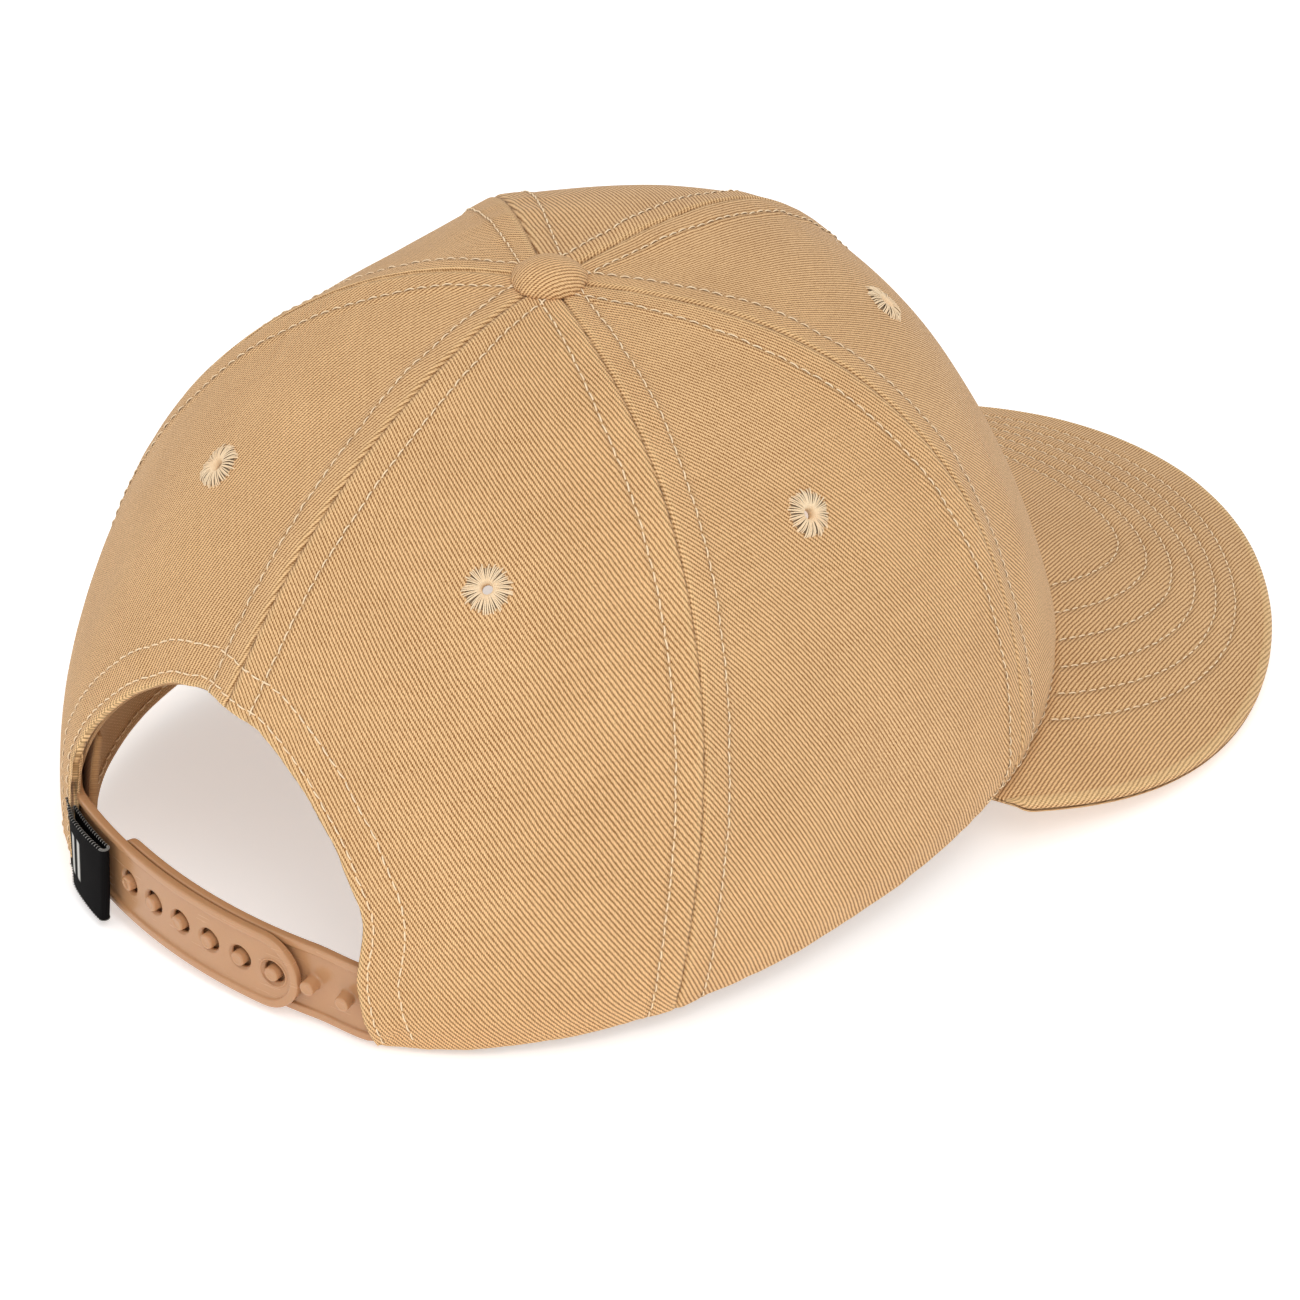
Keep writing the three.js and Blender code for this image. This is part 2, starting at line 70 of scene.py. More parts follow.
# six seams, front centre first and then round by the wearer's left: rim to top, sway and bow
SEAM_FRONT, SEAM_BACK = (53.49, 58.34), (58.34, 63.99)
SEAM_SWAY = (1.54, -0.15, 0.64, 0.93, 1.65, -0.13)
SEAM_BOW = (1.25, -0.05, 0.73, 0.59, 4.08, 1.04)
ARCH_HALF, ARCH_TOP = 46.88, 59.22
EYELET_LEVEL = (0.585, 0.481, 0.520)
CLOTH = 1.3
STITCH_OFF, STITCH_OFF_TOP = 6.0, 4.3
LEAN, SHIFT = -4.1 * DEG, np.array([0.0, 40.045, 6.273])


def to_row(p):
    c, s = math.cos(LEAN), math.sin(LEAN)
    x, y, z = p[..., 0], p[..., 1], p[..., 2]
    return (stack([x, c * y - s * z, s * y + c * z], -1) + SHIFT) * MM


def smooth(t):
    k = clip(t, 0, 1)
    return k * k * (3 - 2 * k)


def unit(v):
    return v / np.maximum(np.linalg.norm(v, axis=-1, keepdims=True), 1e-12)


def bell(x, width):
    return np.exp(-((x / width) ** 2))


def run_of(line):
    """How far along a line each of its points is."""
    return join([[0], np.cumsum(np.linalg.norm(np.diff(line, axis=0), axis=-1))])


# ---- seeded value noise, smooth between the points of a lattice ----
LATTICE = np.random.RandomState(7).uniform(-1, 1, (64, 64, 64))


def noise(p, scale, shift=0.0):
    q = np.asarray(p, float) / scale + shift + 100.0
    i = np.floor(q).astype(int)
    f = q - i
    f = f * f * (3 - 2 * f)
    out = 0.0
    for dx in (0, 1):
        for dy in (0, 1):
            for dz in (0, 1):
                w = (f[..., 0] if dx else 1 - f[..., 0]) * (f[..., 1] if dy else 1 - f[..., 1])
                w = w * (f[..., 2] if dz else 1 - f[..., 2])
                out = out + w * LATTICE[(i[..., 0] + dx) % 64, (i[..., 1] + dy) % 64, (i[..., 2] + dz) % 64]
    return out


def noise1(a, scale, shift=0.0):
    a = np.asarray(a, float)
    return noise(stack([a, 0 * a + shift * 7.3, 0 * a + shift * 3.1], -1), scale)


# ---- the crown's surface ----
def around(phi, sizes):
    s = np.sin(phi)
    return sizes[1] + np.where(s < 0, sizes[0] - sizes[1], sizes[2] - sizes[1]) * s * s


def rim_radius(phi):
    long = np.where(np.sin(phi) < 0, RIM_FRONT, RIM_BACK)
    across, ahead = np.abs(np.cos(phi) / RIM_SIDE), np.abs(np.sin(phi) / long)
    return (across**RIM_POWER + ahead**RIM_POWER) ** (-1 / RIM_POWER)


def rim_height(phi):
    x = rim_radius(phi) * np.cos(phi)
    return np.maximum(0, LIFT - BEND * x * x) * smooth(-np.sin(phi) / 0.3)


def seam(i, t):
    f = (SEAM_FRONT[0] + (SEAM_FRONT[1] - SEAM_FRONT[0]) * t) * DEG
    b = (SEAM_BACK[0] + (SEAM_BACK[1] - SEAM_BACK[0]) * t) * DEG
    q = math.pi / 2
    base = (-q + 0 * t, -q + f, q - b, q + 0 * t, q + b, 3 * q - f)[i % 6]
    return base + (SEAM_SWAY[i % 6] + SEAM_BOW[i % 6] * np.sin(math.pi * t)) * DEG + TURN * (i // 6)


def crown(phi, t):
    phi, t = np.broadcast_arrays(np.asarray(phi, float), np.asarray(t, float))
    psi = clip(t, 0, 1) * math.pi / 2
    rise = np.sin(psi) ** around(phi, FULLNESS)
    s = np.cos(psi) ** around(phi, ROUNDNESS)
    s = s * (1 + around(phi, BULGE) * np.sin(math.pi * clip(rise, 0, 1)))
    edges = [seam(i, t) for i in range(7)]
    p = np.mod(phi - edges[0], TURN) + edges[0]
    chord = np.ones_like(p)
    for i in range(6):
        inside = (p >= edges[i]) & (p <= edges[i + 1])
        mid, half = (edges[i] + edges[i + 1]) / 2, (edges[i + 1] - edges[i]) / 2
        chord = np.where(inside, np.cos(half) / np.cos(clip(p - mid, -1.2, 1.2)), chord)
    s = s * (1 - FLATNESS * t * (1 - chord))
    base = rim_height(phi)
    z = base + (HEIGHT - base) * rise
    r = s * rim_radius(phi) - TUCK * clip(1 - (z - base) / TUCK_HEIGHT, 0, 1) ** 2
    return stack([r * np.cos(phi) + APEX_X * rise, r * np.sin(phi) + APEX_Y * rise, z], -1)


def crown_normal(phi, t):
    phi, t = np.broadcast_arrays(np.asarray(phi, float), np.asarray(t, float))
    e = 0.003
    lo, hi = np.maximum(t - e, 0.0004), np.minimum(t + e, 0.9985)
    return unit(np.cross(crown(phi + e, t) - crown(phi - e, t), crown(phi, hi) - crown(phi, lo)))


def skin(phi, t):
    """The crown's points and normals."""
    return crown(phi, t), crown_normal(phi, t)


def locate(target, phi, t, steps=6):
    """The crown's (phi, t) nearest to each target point, starting from a guess."""
    phi, t = np.array(phi, float), np.array(t, float)
    e = 1e-4
    for _ in range(steps):
        p = crown(phi, t)
        a, b = (crown(phi + e, t) - p) / e, (crown(phi, t + e) - p) / e
        d = target - p
        aa, ab, bb = (a * a).sum(-1), (a * b).sum(-1), (b * b).sum(-1)
        da, db = (d * a).sum(-1), (d * b).sum(-1)
        det = np.maximum(aa * bb - ab * ab, 1e-9)
        phi += clip((da * bb - db * ab) / det, -0.2, 0.2)
        t += clip((db * aa - da * ab) / det, -0.1, 0.1)
        t = clip(t, 0, 0.9995)
    return phi, t


def nearest(points, line):
    """Distance from each point to a fine polyline, and how far along it that is."""
    flat = points.reshape(-1, 3)
    along = run_of(line)
    dist, where = np.empty(len(flat)), np.empty(len(flat))
    for k in range(0, len(flat), 20000):
        part = flat[k : k + 20000]
        d2 = ((part**2).sum(1)[:, None] - 2 * part @ line.T + (line**2).sum(1)[None]).clip(0)
        j = d2.argmin(1)
        dist[k : k + 20000], where[k : k + 20000] = np.sqrt(d2[np.arange(len(part)), j]), along[j]
    return dist.reshape(points.shape[:-1]), where.reshape(points.shape[:-1])


FINE_T = join([linspace(0, 0.95, 300), 1 - np.geomspace(0.05, 0.004, 121)[1:]])
SEAM_LINES = [crown(seam(i, FINE_T), FINE_T) for i in range(6)]


def level_at(phi, z):
    base = rim_height(phi)
    rise = clip((z - base) / (HEIGHT - base), 0, 1)
    return np.arcsin(rise ** (1 / around(phi, FULLNESS))) * 2 / math.pi


def back_at(x, z):
    """The (phi, t) on the back of the crown at a given x and height."""
    x, z = np.broadcast_arrays(np.asarray(x, float), np.asarray(z, float))
    lo, hi = np.full(x.shape, 15 * DEG), np.full(x.shape, 165 * DEG)
    for _ in range(40):
        mid = (lo + hi) / 2
        far = crown(mid, level_at(mid, z))[..., 0] > x
        lo, hi = np.where(far, mid, lo), np.where(far, hi, mid)
    return lo, level_at(lo, z)


def arch_wave(a):
    """The opening's edge isn't a perfect arch: it waves a little and flares at its feet."""
    return 0.45 * np.sin(5 * a + 0.6) + 0.5 * noise1(a * 40, 22, 2.0) + 0.4 * noise1(a * 40, 4.5, 7.0)


def arch_edge(a):
    """The (phi, t) of the opening's edge at arch angle a, 0 at the wearer's left foot."""
    w = arch_wave(a) * np.sin(a)
    x = (ARCH_HALF + w) * np.cos(a)
    z = np.maximum((ARCH_TOP + w) * np.sin(a), 0)
    # the straps draw the feet of the opening together
    x = x - np.where(x > 0, 5.8 * (1 - smooth((z - 12) / 18)), -5.0 * (1 - smooth((z - 13) / 20)))
    return back_at(x, z)


ARCH_A = linspace(0, math.pi, 480)
ARCH_PHI, ARCH_T = arch_edge(ARCH_A)
ARCH_LINE = crown(ARCH_PHI, ARCH_T)
RIM_PHI = linspace(0, TURN, 1000)
RIM_LINE = crown(RIM_PHI, 0 * RIM_PHI)


# ---- how the cloth lies on that surface ----
def seam_distance(p, seams):
    """Distance to the nearest of some seams, which one, and how far along it."""
    best, which, along = np.full(p.shape[:-1], 1e9), np.zeros(p.shape[:-1], int), np.zeros(p.shape[:-1])
    for i in (s % 6 for s in seams):
        d, a = nearest(p, SEAM_LINES[i])
        closer = d < best
        best, which, along = np.where(closer, d, best), np.where(closer, i, which), np.where(closer, a, along)
    return best, which, along


def stitch_gap(along, length):
    """How far the topstitching runs from its seam: it draws in near the button."""
    return STITCH_OFF + (STITCH_OFF_TOP - STITCH_OFF) * smooth((along - length + 45) / 40)


SEAM_LENGTHS = np.array([run_of(s)[-1] for s in SEAM_LINES])


def hollow(p, centre, radii, depth):
    """A soft dent of the given depth, round a point."""
    return -depth * np.exp(-(((p - np.array(centre)) / np.array(radii)) ** 2).sum(-1))


def relief(p, seams):
    """How far the cloth stands off the crown's surface, the painted shade in its seam grooves and along its
    stitch lines, and its paler worn ridges.
    """
    d, which, along = seam_distance(p, seams)
    length = SEAM_LENGTHS[which]
    gap = stitch_gap(along, length)
    rim, rim_along = nearest(p, RIM_LINE)
    arch, arch_along = nearest(p, ARCH_LINE) if p[..., 1].max() > 20 else (rim + 1e3, rim_along)
    low = np.minimum(rim, arch)
    near_arch = arch < rim
    edge_along = np.where(near_arch, arch_along, rim_along)
    # allowances under the cloth raise it beside each seam, and the stitch line pulls it in
    up = 0.38 * smooth((d - 0.1) / 1.0) * (1 - smooth((d - gap - 0.1) / 1.5))
    up = up - 0.20 * bell(d - gap, 0.55)
    r = 0.6
    up = up - 0.48 * (1 - np.sqrt(clip(1 - (1 - clip(d / r, 0, 1)) ** 2, 0, 1)))
    # hems
    hem1, hem2 = np.where(near_arch, 2.1, 2.4), 8.3
    hem = 0.28 * (1 - smooth((low - 8.0) / 1.5)) + 0.12 * (1 - smooth((low - hem1) / 0.8))
    hem = np.where(near_arch, hem, 0.30 * (1 - smooth((low - hem1 - 0.3) / 1.2)))
    hem = hem - 0.2 * bell(low - hem1, 0.5)
    hem = hem - np.where(near_arch, 0.2 * bell(low - hem2, 0.5), 0)
    up = up + hem
    # puckers run across the seam and fade into the panel
    wave = noise1(along + 300 * which, 5.2, 3.0) + 0.55 * noise1(along + 300 * which, 2.9, 9.0)
    wave = wave + 0.5 * noise(p, 5.5, 2.2)
    pull = 0.25 * bell(d - gap * 0.75, 3.4) + 0.08 * bell(d - 9, 5.0)
    up = up + wave * pull * smooth(d / 1.2)
    wave = noise1(edge_along, 4.6, 5.0) + 0.6 * noise1(edge_along, 2.4, 1.0)
    up = up + wave * (0.22 * bell(low - 4.2, 3.4) + 0.08 * bell(low, 1.5))
    up = up + np.where(near_arch, 0.55 * noise1(edge_along, 13.0, 12.0) * (1 - smooth((low - 4) / 12)), 0.0)
    # the whole panel is a little uneven
    up = up + sway(p) + 0.05 * noise(p, 6.5, 8.7)
    # soft creases: above the visor's corner, along the back right seam and by the opening
    up = up + hollow(p, (-66, -58, 40), (9, 7, 26), 1.5) - hollow(p, (-58, -66, 42), (8, 8, 24), 0.8)
    up = up + hollow(p, (-60, 33, 74), (10, 8, 20), 0.9) + hollow(p, (52, 68, 44), (9, 8, 18), 1.2)
    # painted shade: darker in the seam groove and along the stitch line, where the cloth is pulled in
    crease_shade = bell(d, 0.27) * (0.75 + 0.5 * noise1(along + 300 * which, 1.3, 6.0))
    crease_shade = np.maximum(crease_shade, 0.35 * bell(d - gap, 0.5))
    ridge = bell(d - 0.9, 0.5) * 0.4
    ridge = np.maximum(ridge, bell(low, 0.8) * 0.9)
    return up, low, crease_shade, ridge


def curl(distance, thickness, radius=0.75):
    """How far a face turns in towards the middle of the cloth at a folded edge."""
    k = clip(distance / radius, 0, 1)
    return 0.47 * thickness * (1 - np.sqrt(clip(1 - (1 - k) ** 2, 0, 1)))


# ---- meshes ----
def mesh_of(name, points, quads, tris=None, uv=None, marks=None):
    """A mesh object from row-frame points; uv is in millimetres, marks are named point values."""
    mesh = bpy.data.meshes.new(name)
    tris = np.zeros((0, 3), int) if tris is None else np.asarray(tris, int)
    quads = np.asarray(quads, int).reshape(-1, 4)
    mesh.vertices.add(len(points))
    mesh.vertices.foreach_set("co", np.asarray(points, np.float32).ravel())
    loops = join([quads.ravel(), tris.ravel()])
    mesh.loops.add(len(loops))
    mesh.loops.foreach_set("vertex_index", loops.astype(np.int32))
    total = join([np.full(len(quads), 4), np.full(len(tris), 3)])
    start = join([[0], np.cumsum(total)[:-1]])
    mesh.polygons.add(len(total))
    mesh.polygons.foreach_set("loop_start", start.astype(np.int32))
    mesh.polygons.foreach_set("use_smooth", np.ones(len(total), bool))
    mesh.update(calc_edges=True)
    if uv is not None:
        layer = mesh.uv_layers.new(name="cloth")
        layer.data.foreach_set("uv", np.asarray(uv, np.float32)[loops].ravel())
    for key, values in (marks or {}).items():
        layer = mesh.attributes.new(key, "FLOAT", "POINT")
        layer.data.foreach_set("value", np.asarray(values, np.float32).ravel())
    mesh.validate()
    made = bpy.data.objects.new(name, mesh)
    bpy.context.scene.collection.objects.link(made)
    return made


def face_out(o):
    """Turns every face of a closed mesh outwards."""
    b = bmesh.new()
    b.from_mesh(o.data)
    bmesh.ops.recalc_face_normals(b, faces=b.faces)
    b.to_mesh(o.data)
    b.free()


def shell(outer, inner, keep=None):
    """A closed sheet between two grids of points: the points, and the quads facing out."""
    nu, nv = outer.shape[:2]
    keep = np.ones((nu - 1, nv - 1), bool) if keep is None else keep
    at = np.arange(nu * nv).reshape(nu, nv)
    under = nu * nv
    a, b, c, d = at[:-1, :-1][keep], at[1:, :-1][keep], at[1:, 1:][keep], at[:-1, 1:][keep]
    quads = [stack([a, b, c, d], -1), under + stack([d, c, b, a], -1)]
    wide = np.pad(keep, 1)
    for i in range(nu):
        left, right = wide[i, 1:-1], wide[i + 1, 1:-1]
        lo, hi = at[i, :-1], at[i, 1:]
        for m, (p, q) in ((right & ~left, (lo, hi)), (left & ~right, (hi, lo))):
            quads.append(stack([p[m], q[m], under + q[m], under + p[m]], -1))
    for j in range(nv):
        below, above = wide[1:-1, j], wide[1:-1, j + 1]
        lo, hi = at[:-1, j], at[1:, j]
        for m, (p, q) in ((above & ~below, (hi, lo)), (below & ~above, (lo, hi))):
            quads.append(stack([p[m], q[m], under + q[m], under + p[m]], -1))
    quads = join(quads)
    points = join([outer.reshape(-1, 3), inner.reshape(-1, 3)])
    used, quads = np.unique(quads, return_inverse=True)
    return points[used], quads.reshape(-1, 4), used % under


def sheet_of(name, outer, inner, flat, marks=None, keep=None):
    """A closed sheet between two grids of points. Its cloth coordinates and marks are grids too."""
    points, quads, source = shell(outer, inner, keep)
    marks = {key: values.ravel()[source] for key, values in (marks or {}).items()}
    return mesh_of(name, to_row(points), quads, uv=flat.reshape(-1, 2)[source], marks=marks)


def tube(path, normal, radius, sides=8, flat=1.0):
    """Rings round a path, with a point at each end. The radius may vary along it."""
    path = np.asarray(path, float)
    n = len(path)
    along = unit(np.gradient(path, axis=0))
    up = unit(normal - (normal * along).sum(-1, keepdims=True) * along)
    side = np.cross(along, up)
    angle = np.arange(sides) * TURN / sides
    c, s = np.cos(angle)[None, :, None], np.sin(angle)[None, :, None]
    r = np.broadcast_to(np.asarray(radius, float), (n,))[:, None, None]
    ring = path[:, None] + r * (c * side[:, None] + flat * s * up[:, None])
    points = join([ring.reshape(-1, 3), path[:1], path[-1:]])
    at = np.arange(n * sides).reshape(n, sides)
    nxt = np.roll(at, -1, 1)
    quads = stack([at[:-1], at[1:], nxt[1:], nxt[:-1]], -1).reshape(-1, 4)
    head, tail = n * sides, n * sides + 1
    tris = join([
        stack([np.full(sides, head), at[0], nxt[0]], -1),
        stack([np.full(sides, tail), nxt[-1], at[-1]], -1),
    ])
    lengths = run_of(path)
    uv = stack([np.repeat(lengths, sides), np.tile(angle / TURN, n)], -1)
    uv = join([uv, [[0, 0], [lengths[-1], 0]]])
    return points, quads, tris, uv


class Bundle:
    """Many small bodies gathered into one mesh."""

    def __init__(self):
        self.points, self.quads, self.tris, self.uv, self.count = [], [], [], [], 0

    def add(self, points, quads, tris=None, uv=None):
        self.points.append(points)
        self.quads.append(np.asarray(quads).reshape(-1, 4) + self.count)
        self.tris.append((np.zeros((0, 3), int) if tris is None else tris) + self.count)
        self.uv.append(np.zeros((len(points), 2)) if uv is None else uv)
        self.count += len(points)

    def build(self, name):
        return mesh_of(name, to_row(join(self.points)), join(self.quads), join(self.tris), join(self.uv))

    def sew(self, name, nodes=()):
        dress(self.build(name), "thread", nodes=nodes)


# ---- materials ----
def linear(*rgb):
    """A display colour from 0 to 255 as the linear one that a shader takes."""
    return tuple((c / 255 / 12.92 if c <= 10 else ((c / 255 + 0.055) / 1.055) ** 2.4) for c in rgb) + (1.0,)


def shade(color, by):
    return tuple(min(1.0, c * by) for c in color[:3]) + (1.0,)


class Graph:
    """A material's node tree, with its Principled shader set up."""

    def __init__(self, name, **sockets):
        self.material = bpy.data.materials.new(name)
        self.material.use_nodes = True
        self.tree = self.material.node_tree
        self.shader = self.tree.nodes["Principled BSDF"]
        for key, value in sockets.items():
            self.shader.inputs[key.replace("_", " ")].default_value = value

    def node(self, kind, **settings):
        made = self.tree.nodes.new("ShaderNode" + kind)
        for key, value in settings.items():
            setattr(made, key, value)
        return made

    def put(self, socket, value):
        if isinstance(value, bpy.types.NodeSocket):
            self.tree.links.new(value, socket)
        elif value is not None:
            socket.default_value = value

    def math(self, operation, *values):
        made = self.node("Math", operation=operation)
        for socket, value in zip(made.inputs, values):
            self.put(socket, value)
        return made.outputs[0]

    mul = partialmethod(math, "MULTIPLY")
    add = partialmethod(math, "ADD")
    fma = partialmethod(math, "MULTIPLY_ADD")
    div = partialmethod(math, "DIVIDE")
    sin = partialmethod(math, "SINE")
    abs = partialmethod(math, "ABSOLUTE")
    fract = partialmethod(math, "FRACT")

    def ranged(self, value, low, high, to_low=0.0, to_high=1.0):
        made = self.node("MapRange")
        for socket, v in zip(made.inputs, (value, low, high, to_low, to_high)):
            self.put(socket, v)
        return made.outputs[0]

    def mix(self, factor, a, b):
        made = self.node("Mix", data_type="RGBA")
        self.put(made.inputs[0], factor)
        self.put(made.inputs[6], a)
        self.put(made.inputs[7], b)
        return made.outputs[2]

    def vector(self, x, y, z=0.0):
        made = self.node("CombineXYZ")
        for socket, value in zip(made.inputs, (x, y, z)):
            self.put(socket, value)
        return made.outputs[0]

    def noise(self, where, scale, detail=2.0, rough=0.5):
        made = self.node("TexNoise")
        self.put(made.inputs["Vector"], where)
        self.put(made.inputs["Scale"], scale)
        self.put(made.inputs["Detail"], detail)
        self.put(made.inputs["Roughness"], rough)
        return made.outputs["Fac"]

    def fibres(self, x, y, kx, ky, z=0.0, detail=3.0, rough=0.6):
        """Noise drawn out by different amounts across and along the threads."""
        return self.noise(self.vector(self.mul(x, kx), self.mul(y, ky), z), 1.0, detail, rough)

    def stretched(self, *scale):
        """The object's own coordinates, drawn out along its axes."""
        made = self.node("Mapping")
        made.inputs["Scale"].default_value = scale
        self.put(made.inputs["Vector"], self.place())
        return made.outputs[0]

    def mark(self, name):
        return self.node("Attribute", attribute_name=name).outputs["Fac"]

    def cloth(self):
        """The piece's own (x, y) in millimetres."""
        uv = self.node("UVMap", uv_map="cloth")
        split = self.node("SeparateXYZ")
        self.put(split.inputs[0], uv.outputs[0])
        return uv.outputs[0], split.outputs[0], split.outputs[1]

    def place(self):
        """The object's own coordinates in metres."""
        return self.node("TexCoord").outputs["Object"]

    def bump(self, height, depth, strength=1.0):
        made = self.node("Bump")
        made.inputs["Strength"].default_value = strength
        made.inputs["Distance"].default_value = depth
        self.put(made.inputs["Height"], height)
        return made.outputs[0]

    def finish(self, color, normal=None, roughness=None):
        self.put(self.shader.inputs["Base Color"], color)
        self.put(self.shader.inputs["Normal"], normal)
        self.put(self.shader.inputs["Roughness"], roughness)
        return self.material


WARP, WEFT = 0.305, 0.455


def twill(name, high, low, seam_shade_and_wear=True):
    """A 2/1 cotton twill: upright warp floats, each a thread on and a weft down from the last."""
    g = Graph(name, Sheen_Weight=0.10, Sheen_Roughness=0.45, Specular_IOR_Level=0.2)
    uv, x, y = g.cloth()
    wobble = g.fma(g.noise(uv, 0.05, 2.0), 0.9, -0.45)
    fine = g.fma(g.noise(uv, 0.9, 2.0), 0.26, -0.13)
    u = g.add(g.add(x, wobble), fine)
    thread = g.div(u, WARP)
    index = g.math("FLOOR", thread)
    across = g.fract(thread)
    slack = g.fma(g.noise(g.vector(x, y, 7.0), 1.6, 1.0), 0.30, -0.15)
    v = g.div(g.add(y, slack), 3 * WEFT)
    step = g.fract(g.fma(index, 1 / 3, v))
    slope = g.fract(g.fma(thread, 1 / 3, v))
    crown_of = g.sin(g.mul(across, math.pi))
    over = g.sin(g.mul(g.ranged(step, 0.0, 0.78), math.pi))
    over = g.math("POWER", g.math("MAXIMUM", over, 0.0), 0.7)
    wale = g.sin(g.mul(slope, math.pi))
    body = g.mul(over, g.fma(crown_of, 0.70, 0.30))
    rib = g.add(g.mul(wale, 0.20), g.mul(body, 0.80))
    # threads differ a little from each other along their whole run, and fibres within them
    warp_run = g.fibres(x, y, 2.1, 0.05, 0.0, 2.0, 0.5)
    weft_run = g.fibres(x, y, 0.05, 1.3, 4.0, 2.0, 0.5)
    fibre = g.fibres(x, y, 5.0, 2.2, 9.0, 3.0, 0.65)
    cloud = g.noise(uv, 0.035, 3.0, 0.55)
    level = g.ranged(rib, 0.04, 0.80, 0.07, 0.93)
    level = g.add(level, g.ranged(fibre, 0.25, 0.75, -0.26, 0.26))
    level = g.add(level, g.ranged(g.add(warp_run, weft_run), 0.6, 1.4, -0.06, 0.06))
    level = g.add(level, g.ranged(cloud, 0.3, 0.7, -0.04, 0.04))
    color = g.mix(g.ranged(level, 0.0, 1.0), low, high)
    # lint and pale neps
    nep = g.ranged(g.noise(uv, 1.9, 1.0), 0.735, 0.80, 0.0, 0.22)
    color = g.mix(nep, color, shade(high, 1.25))
    # painted shade in the seam grooves and stitch lines, and paler worn ridges
    if seam_shade_and_wear:
        color = g.mix(g.mul(g.mark("ridge"), 0.20), color, shade(high, 1.22))
        # painted shade: darker where the crease mark lies in grooves, stitch lines and edge joints
        color = g.mix(g.mul(g.mark("crease_shade"), 0.80), color, shade(low, 0.42))
    normal = g.bump(g.add(rib, g.mul(fibre, 0.35)), 0.00009)
    rough = g.ranged(fibre, 0.2, 0.8, 0.84, 0.96)
    return g.finish(color, normal, rough)


def spun(name, high, low):
    """Sewing thread: plies twisted round each other, with stray fibres, and painted shade on the underside of
    each strand.
    """
    g = Graph(name, Specular_IOR_Level=0.12)
    _, x, y = g.cloth()
    ply = g.sin(g.mul(g.add(g.div(x, 0.34), g.mul(y, 2.0)), TURN))
    fibre = g.fibres(x, y, 3.0, 14.0)
    dye = g.noise(g.place(), 260.0, 2.0)
    level = g.add(g.ranged(ply, -1.0, 1.0, 0.2, 0.8), g.ranged(fibre, 0.2, 0.8, -0.25, 0.25))
    level = g.add(level, g.ranged(dye, 0.3, 0.7, -0.15, 0.15))
    color = g.mix(g.ranged(level, 0.0, 1.0), low, high)
    # painted shade: each strand is darker on its underside, by its angle round the tube
    under = g.ranged(g.sin(g.mul(y, TURN)), -0.4, 0.65)
    color = g.mix(under, shade(low, 0.30), color)
    return g.finish(color, g.bump(g.add(ply, fibre), 0.00002), g.ranged(fibre, 0.2, 0.8, 0.6, 0.8))


def plain_weave(name, high, low, pitch=0.42, depth=0.00010):
    """Plain woven tape or lining: threads over and under by turns."""
    g = Graph(name, Sheen_Weight=0.15, Specular_IOR_Level=0.25)
    uv, x, y = g.cloth()
    a, b = g.div(x, pitch), g.div(y, pitch)
    warp = g.sin(g.mul(a, math.pi))
    weft = g.sin(g.mul(b, math.pi))
    rise = g.mul(warp, weft)
    lattice = g.mul(g.abs(warp), g.abs(weft))
    height = g.add(g.mul(rise, 0.25), g.math("POWER", lattice, 0.5))
    fibre = g.fibres(x, y, 4.0, 4.0)
    cloud = g.noise(uv, 0.06, 2.0)
    level = g.add(g.ranged(height, 0.0, 1.1), g.ranged(fibre, 0.25, 0.75, -0.18, 0.18))
    level = g.add(level, g.ranged(cloud, 0.3, 0.7, -0.1, 0.1))
    color = g.mix(g.ranged(level, 0.0, 1.0), low, high)
    return g.finish(color, g.bump(height, depth), g.ranged(fibre, 0.2, 0.8, 0.82, 0.95))


def moulded(name, high, low, rough):
    """Moulded plastic: satin, faintly mottled, with fine handling marks."""
    g = Graph(name, Subsurface_Weight=0.06, Subsurface_Scale=0.002, Specular_IOR_Level=0.5)
    where = g.place()
    mottle = g.noise(where, 130.0, 3.0, 0.6)
    grain = g.noise(where, 2600.0, 2.0, 0.6)
    rub = g.ranged(g.noise(g.stretched(90.0, 90.0, 1500.0), 1.0, 2.0, 0.7), 0.56, 0.74)
    level = g.add(g.ranged(mottle, 0.3, 0.7, 0.25, 0.75), g.ranged(grain, 0.3, 0.7, -0.15, 0.15))
    color = g.mix(g.ranged(level, 0.0, 1.0), low, high)
    color = g.mix(g.mul(rub, 0.06), color, high)
    normal = g.bump(grain, 0.000008, 0.5)
    roughness = g.ranged(g.add(mottle, g.mul(rub, 0.4)), 0.3, 0.9, rough - 0.02, rough + 0.05)
    return g.finish(color, normal, roughness)


def zinc(name):
    """Rolled and plated steel: brushed, a little uneven."""
    g = Graph(name, Metallic=1.0)
    where = g.place()
    brush = g.noise(g.stretched(5200.0, 300.0, 300.0), 1.0, 3.0, 0.6)
    bloom = g.noise(where, 420.0, 3.0, 0.6)
    color = g.mix(g.ranged(bloom, 0.3, 0.7), linear(150, 149, 145), linear(206, 205, 200))
    return g.finish(color, g.bump(brush, 0.00001, 0.6), g.ranged(g.add(brush, bloom), 0.6, 1.4, 0.24, 0.46))


def label_cloth(name):
    """Black damask label: fine crosswise ribs, with two plain pale bars woven in."""
    g = Graph(name, Specular_IOR_Level=0.06)
    _, x, y = g.cloth()
    rib = g.abs(g.sin(g.mul(y, math.pi / 0.22)))
    pick = g.abs(g.sin(g.mul(x, math.pi / 0.30)))
    fibre = g.fibres(x, y, 6.0, 6.0, detail=2.0)
    body = g.add(g.mul(rib, 0.6), g.mul(pick, 0.4))
    color = g.mix(g.ranged(g.add(body, fibre), 0.5, 1.6), linear(3, 3, 4), linear(22, 20, 20))
    inked = g.mul(g.mark("pale"), g.ranged(g.add(body, fibre), 0.45, 0.8))
    color = g.mix(inked, color, linear(236, 234, 228))
    return g.finish(color, g.bump(body, 0.00005), g.ranged(fibre, 0.2, 0.8, 0.7, 0.9))


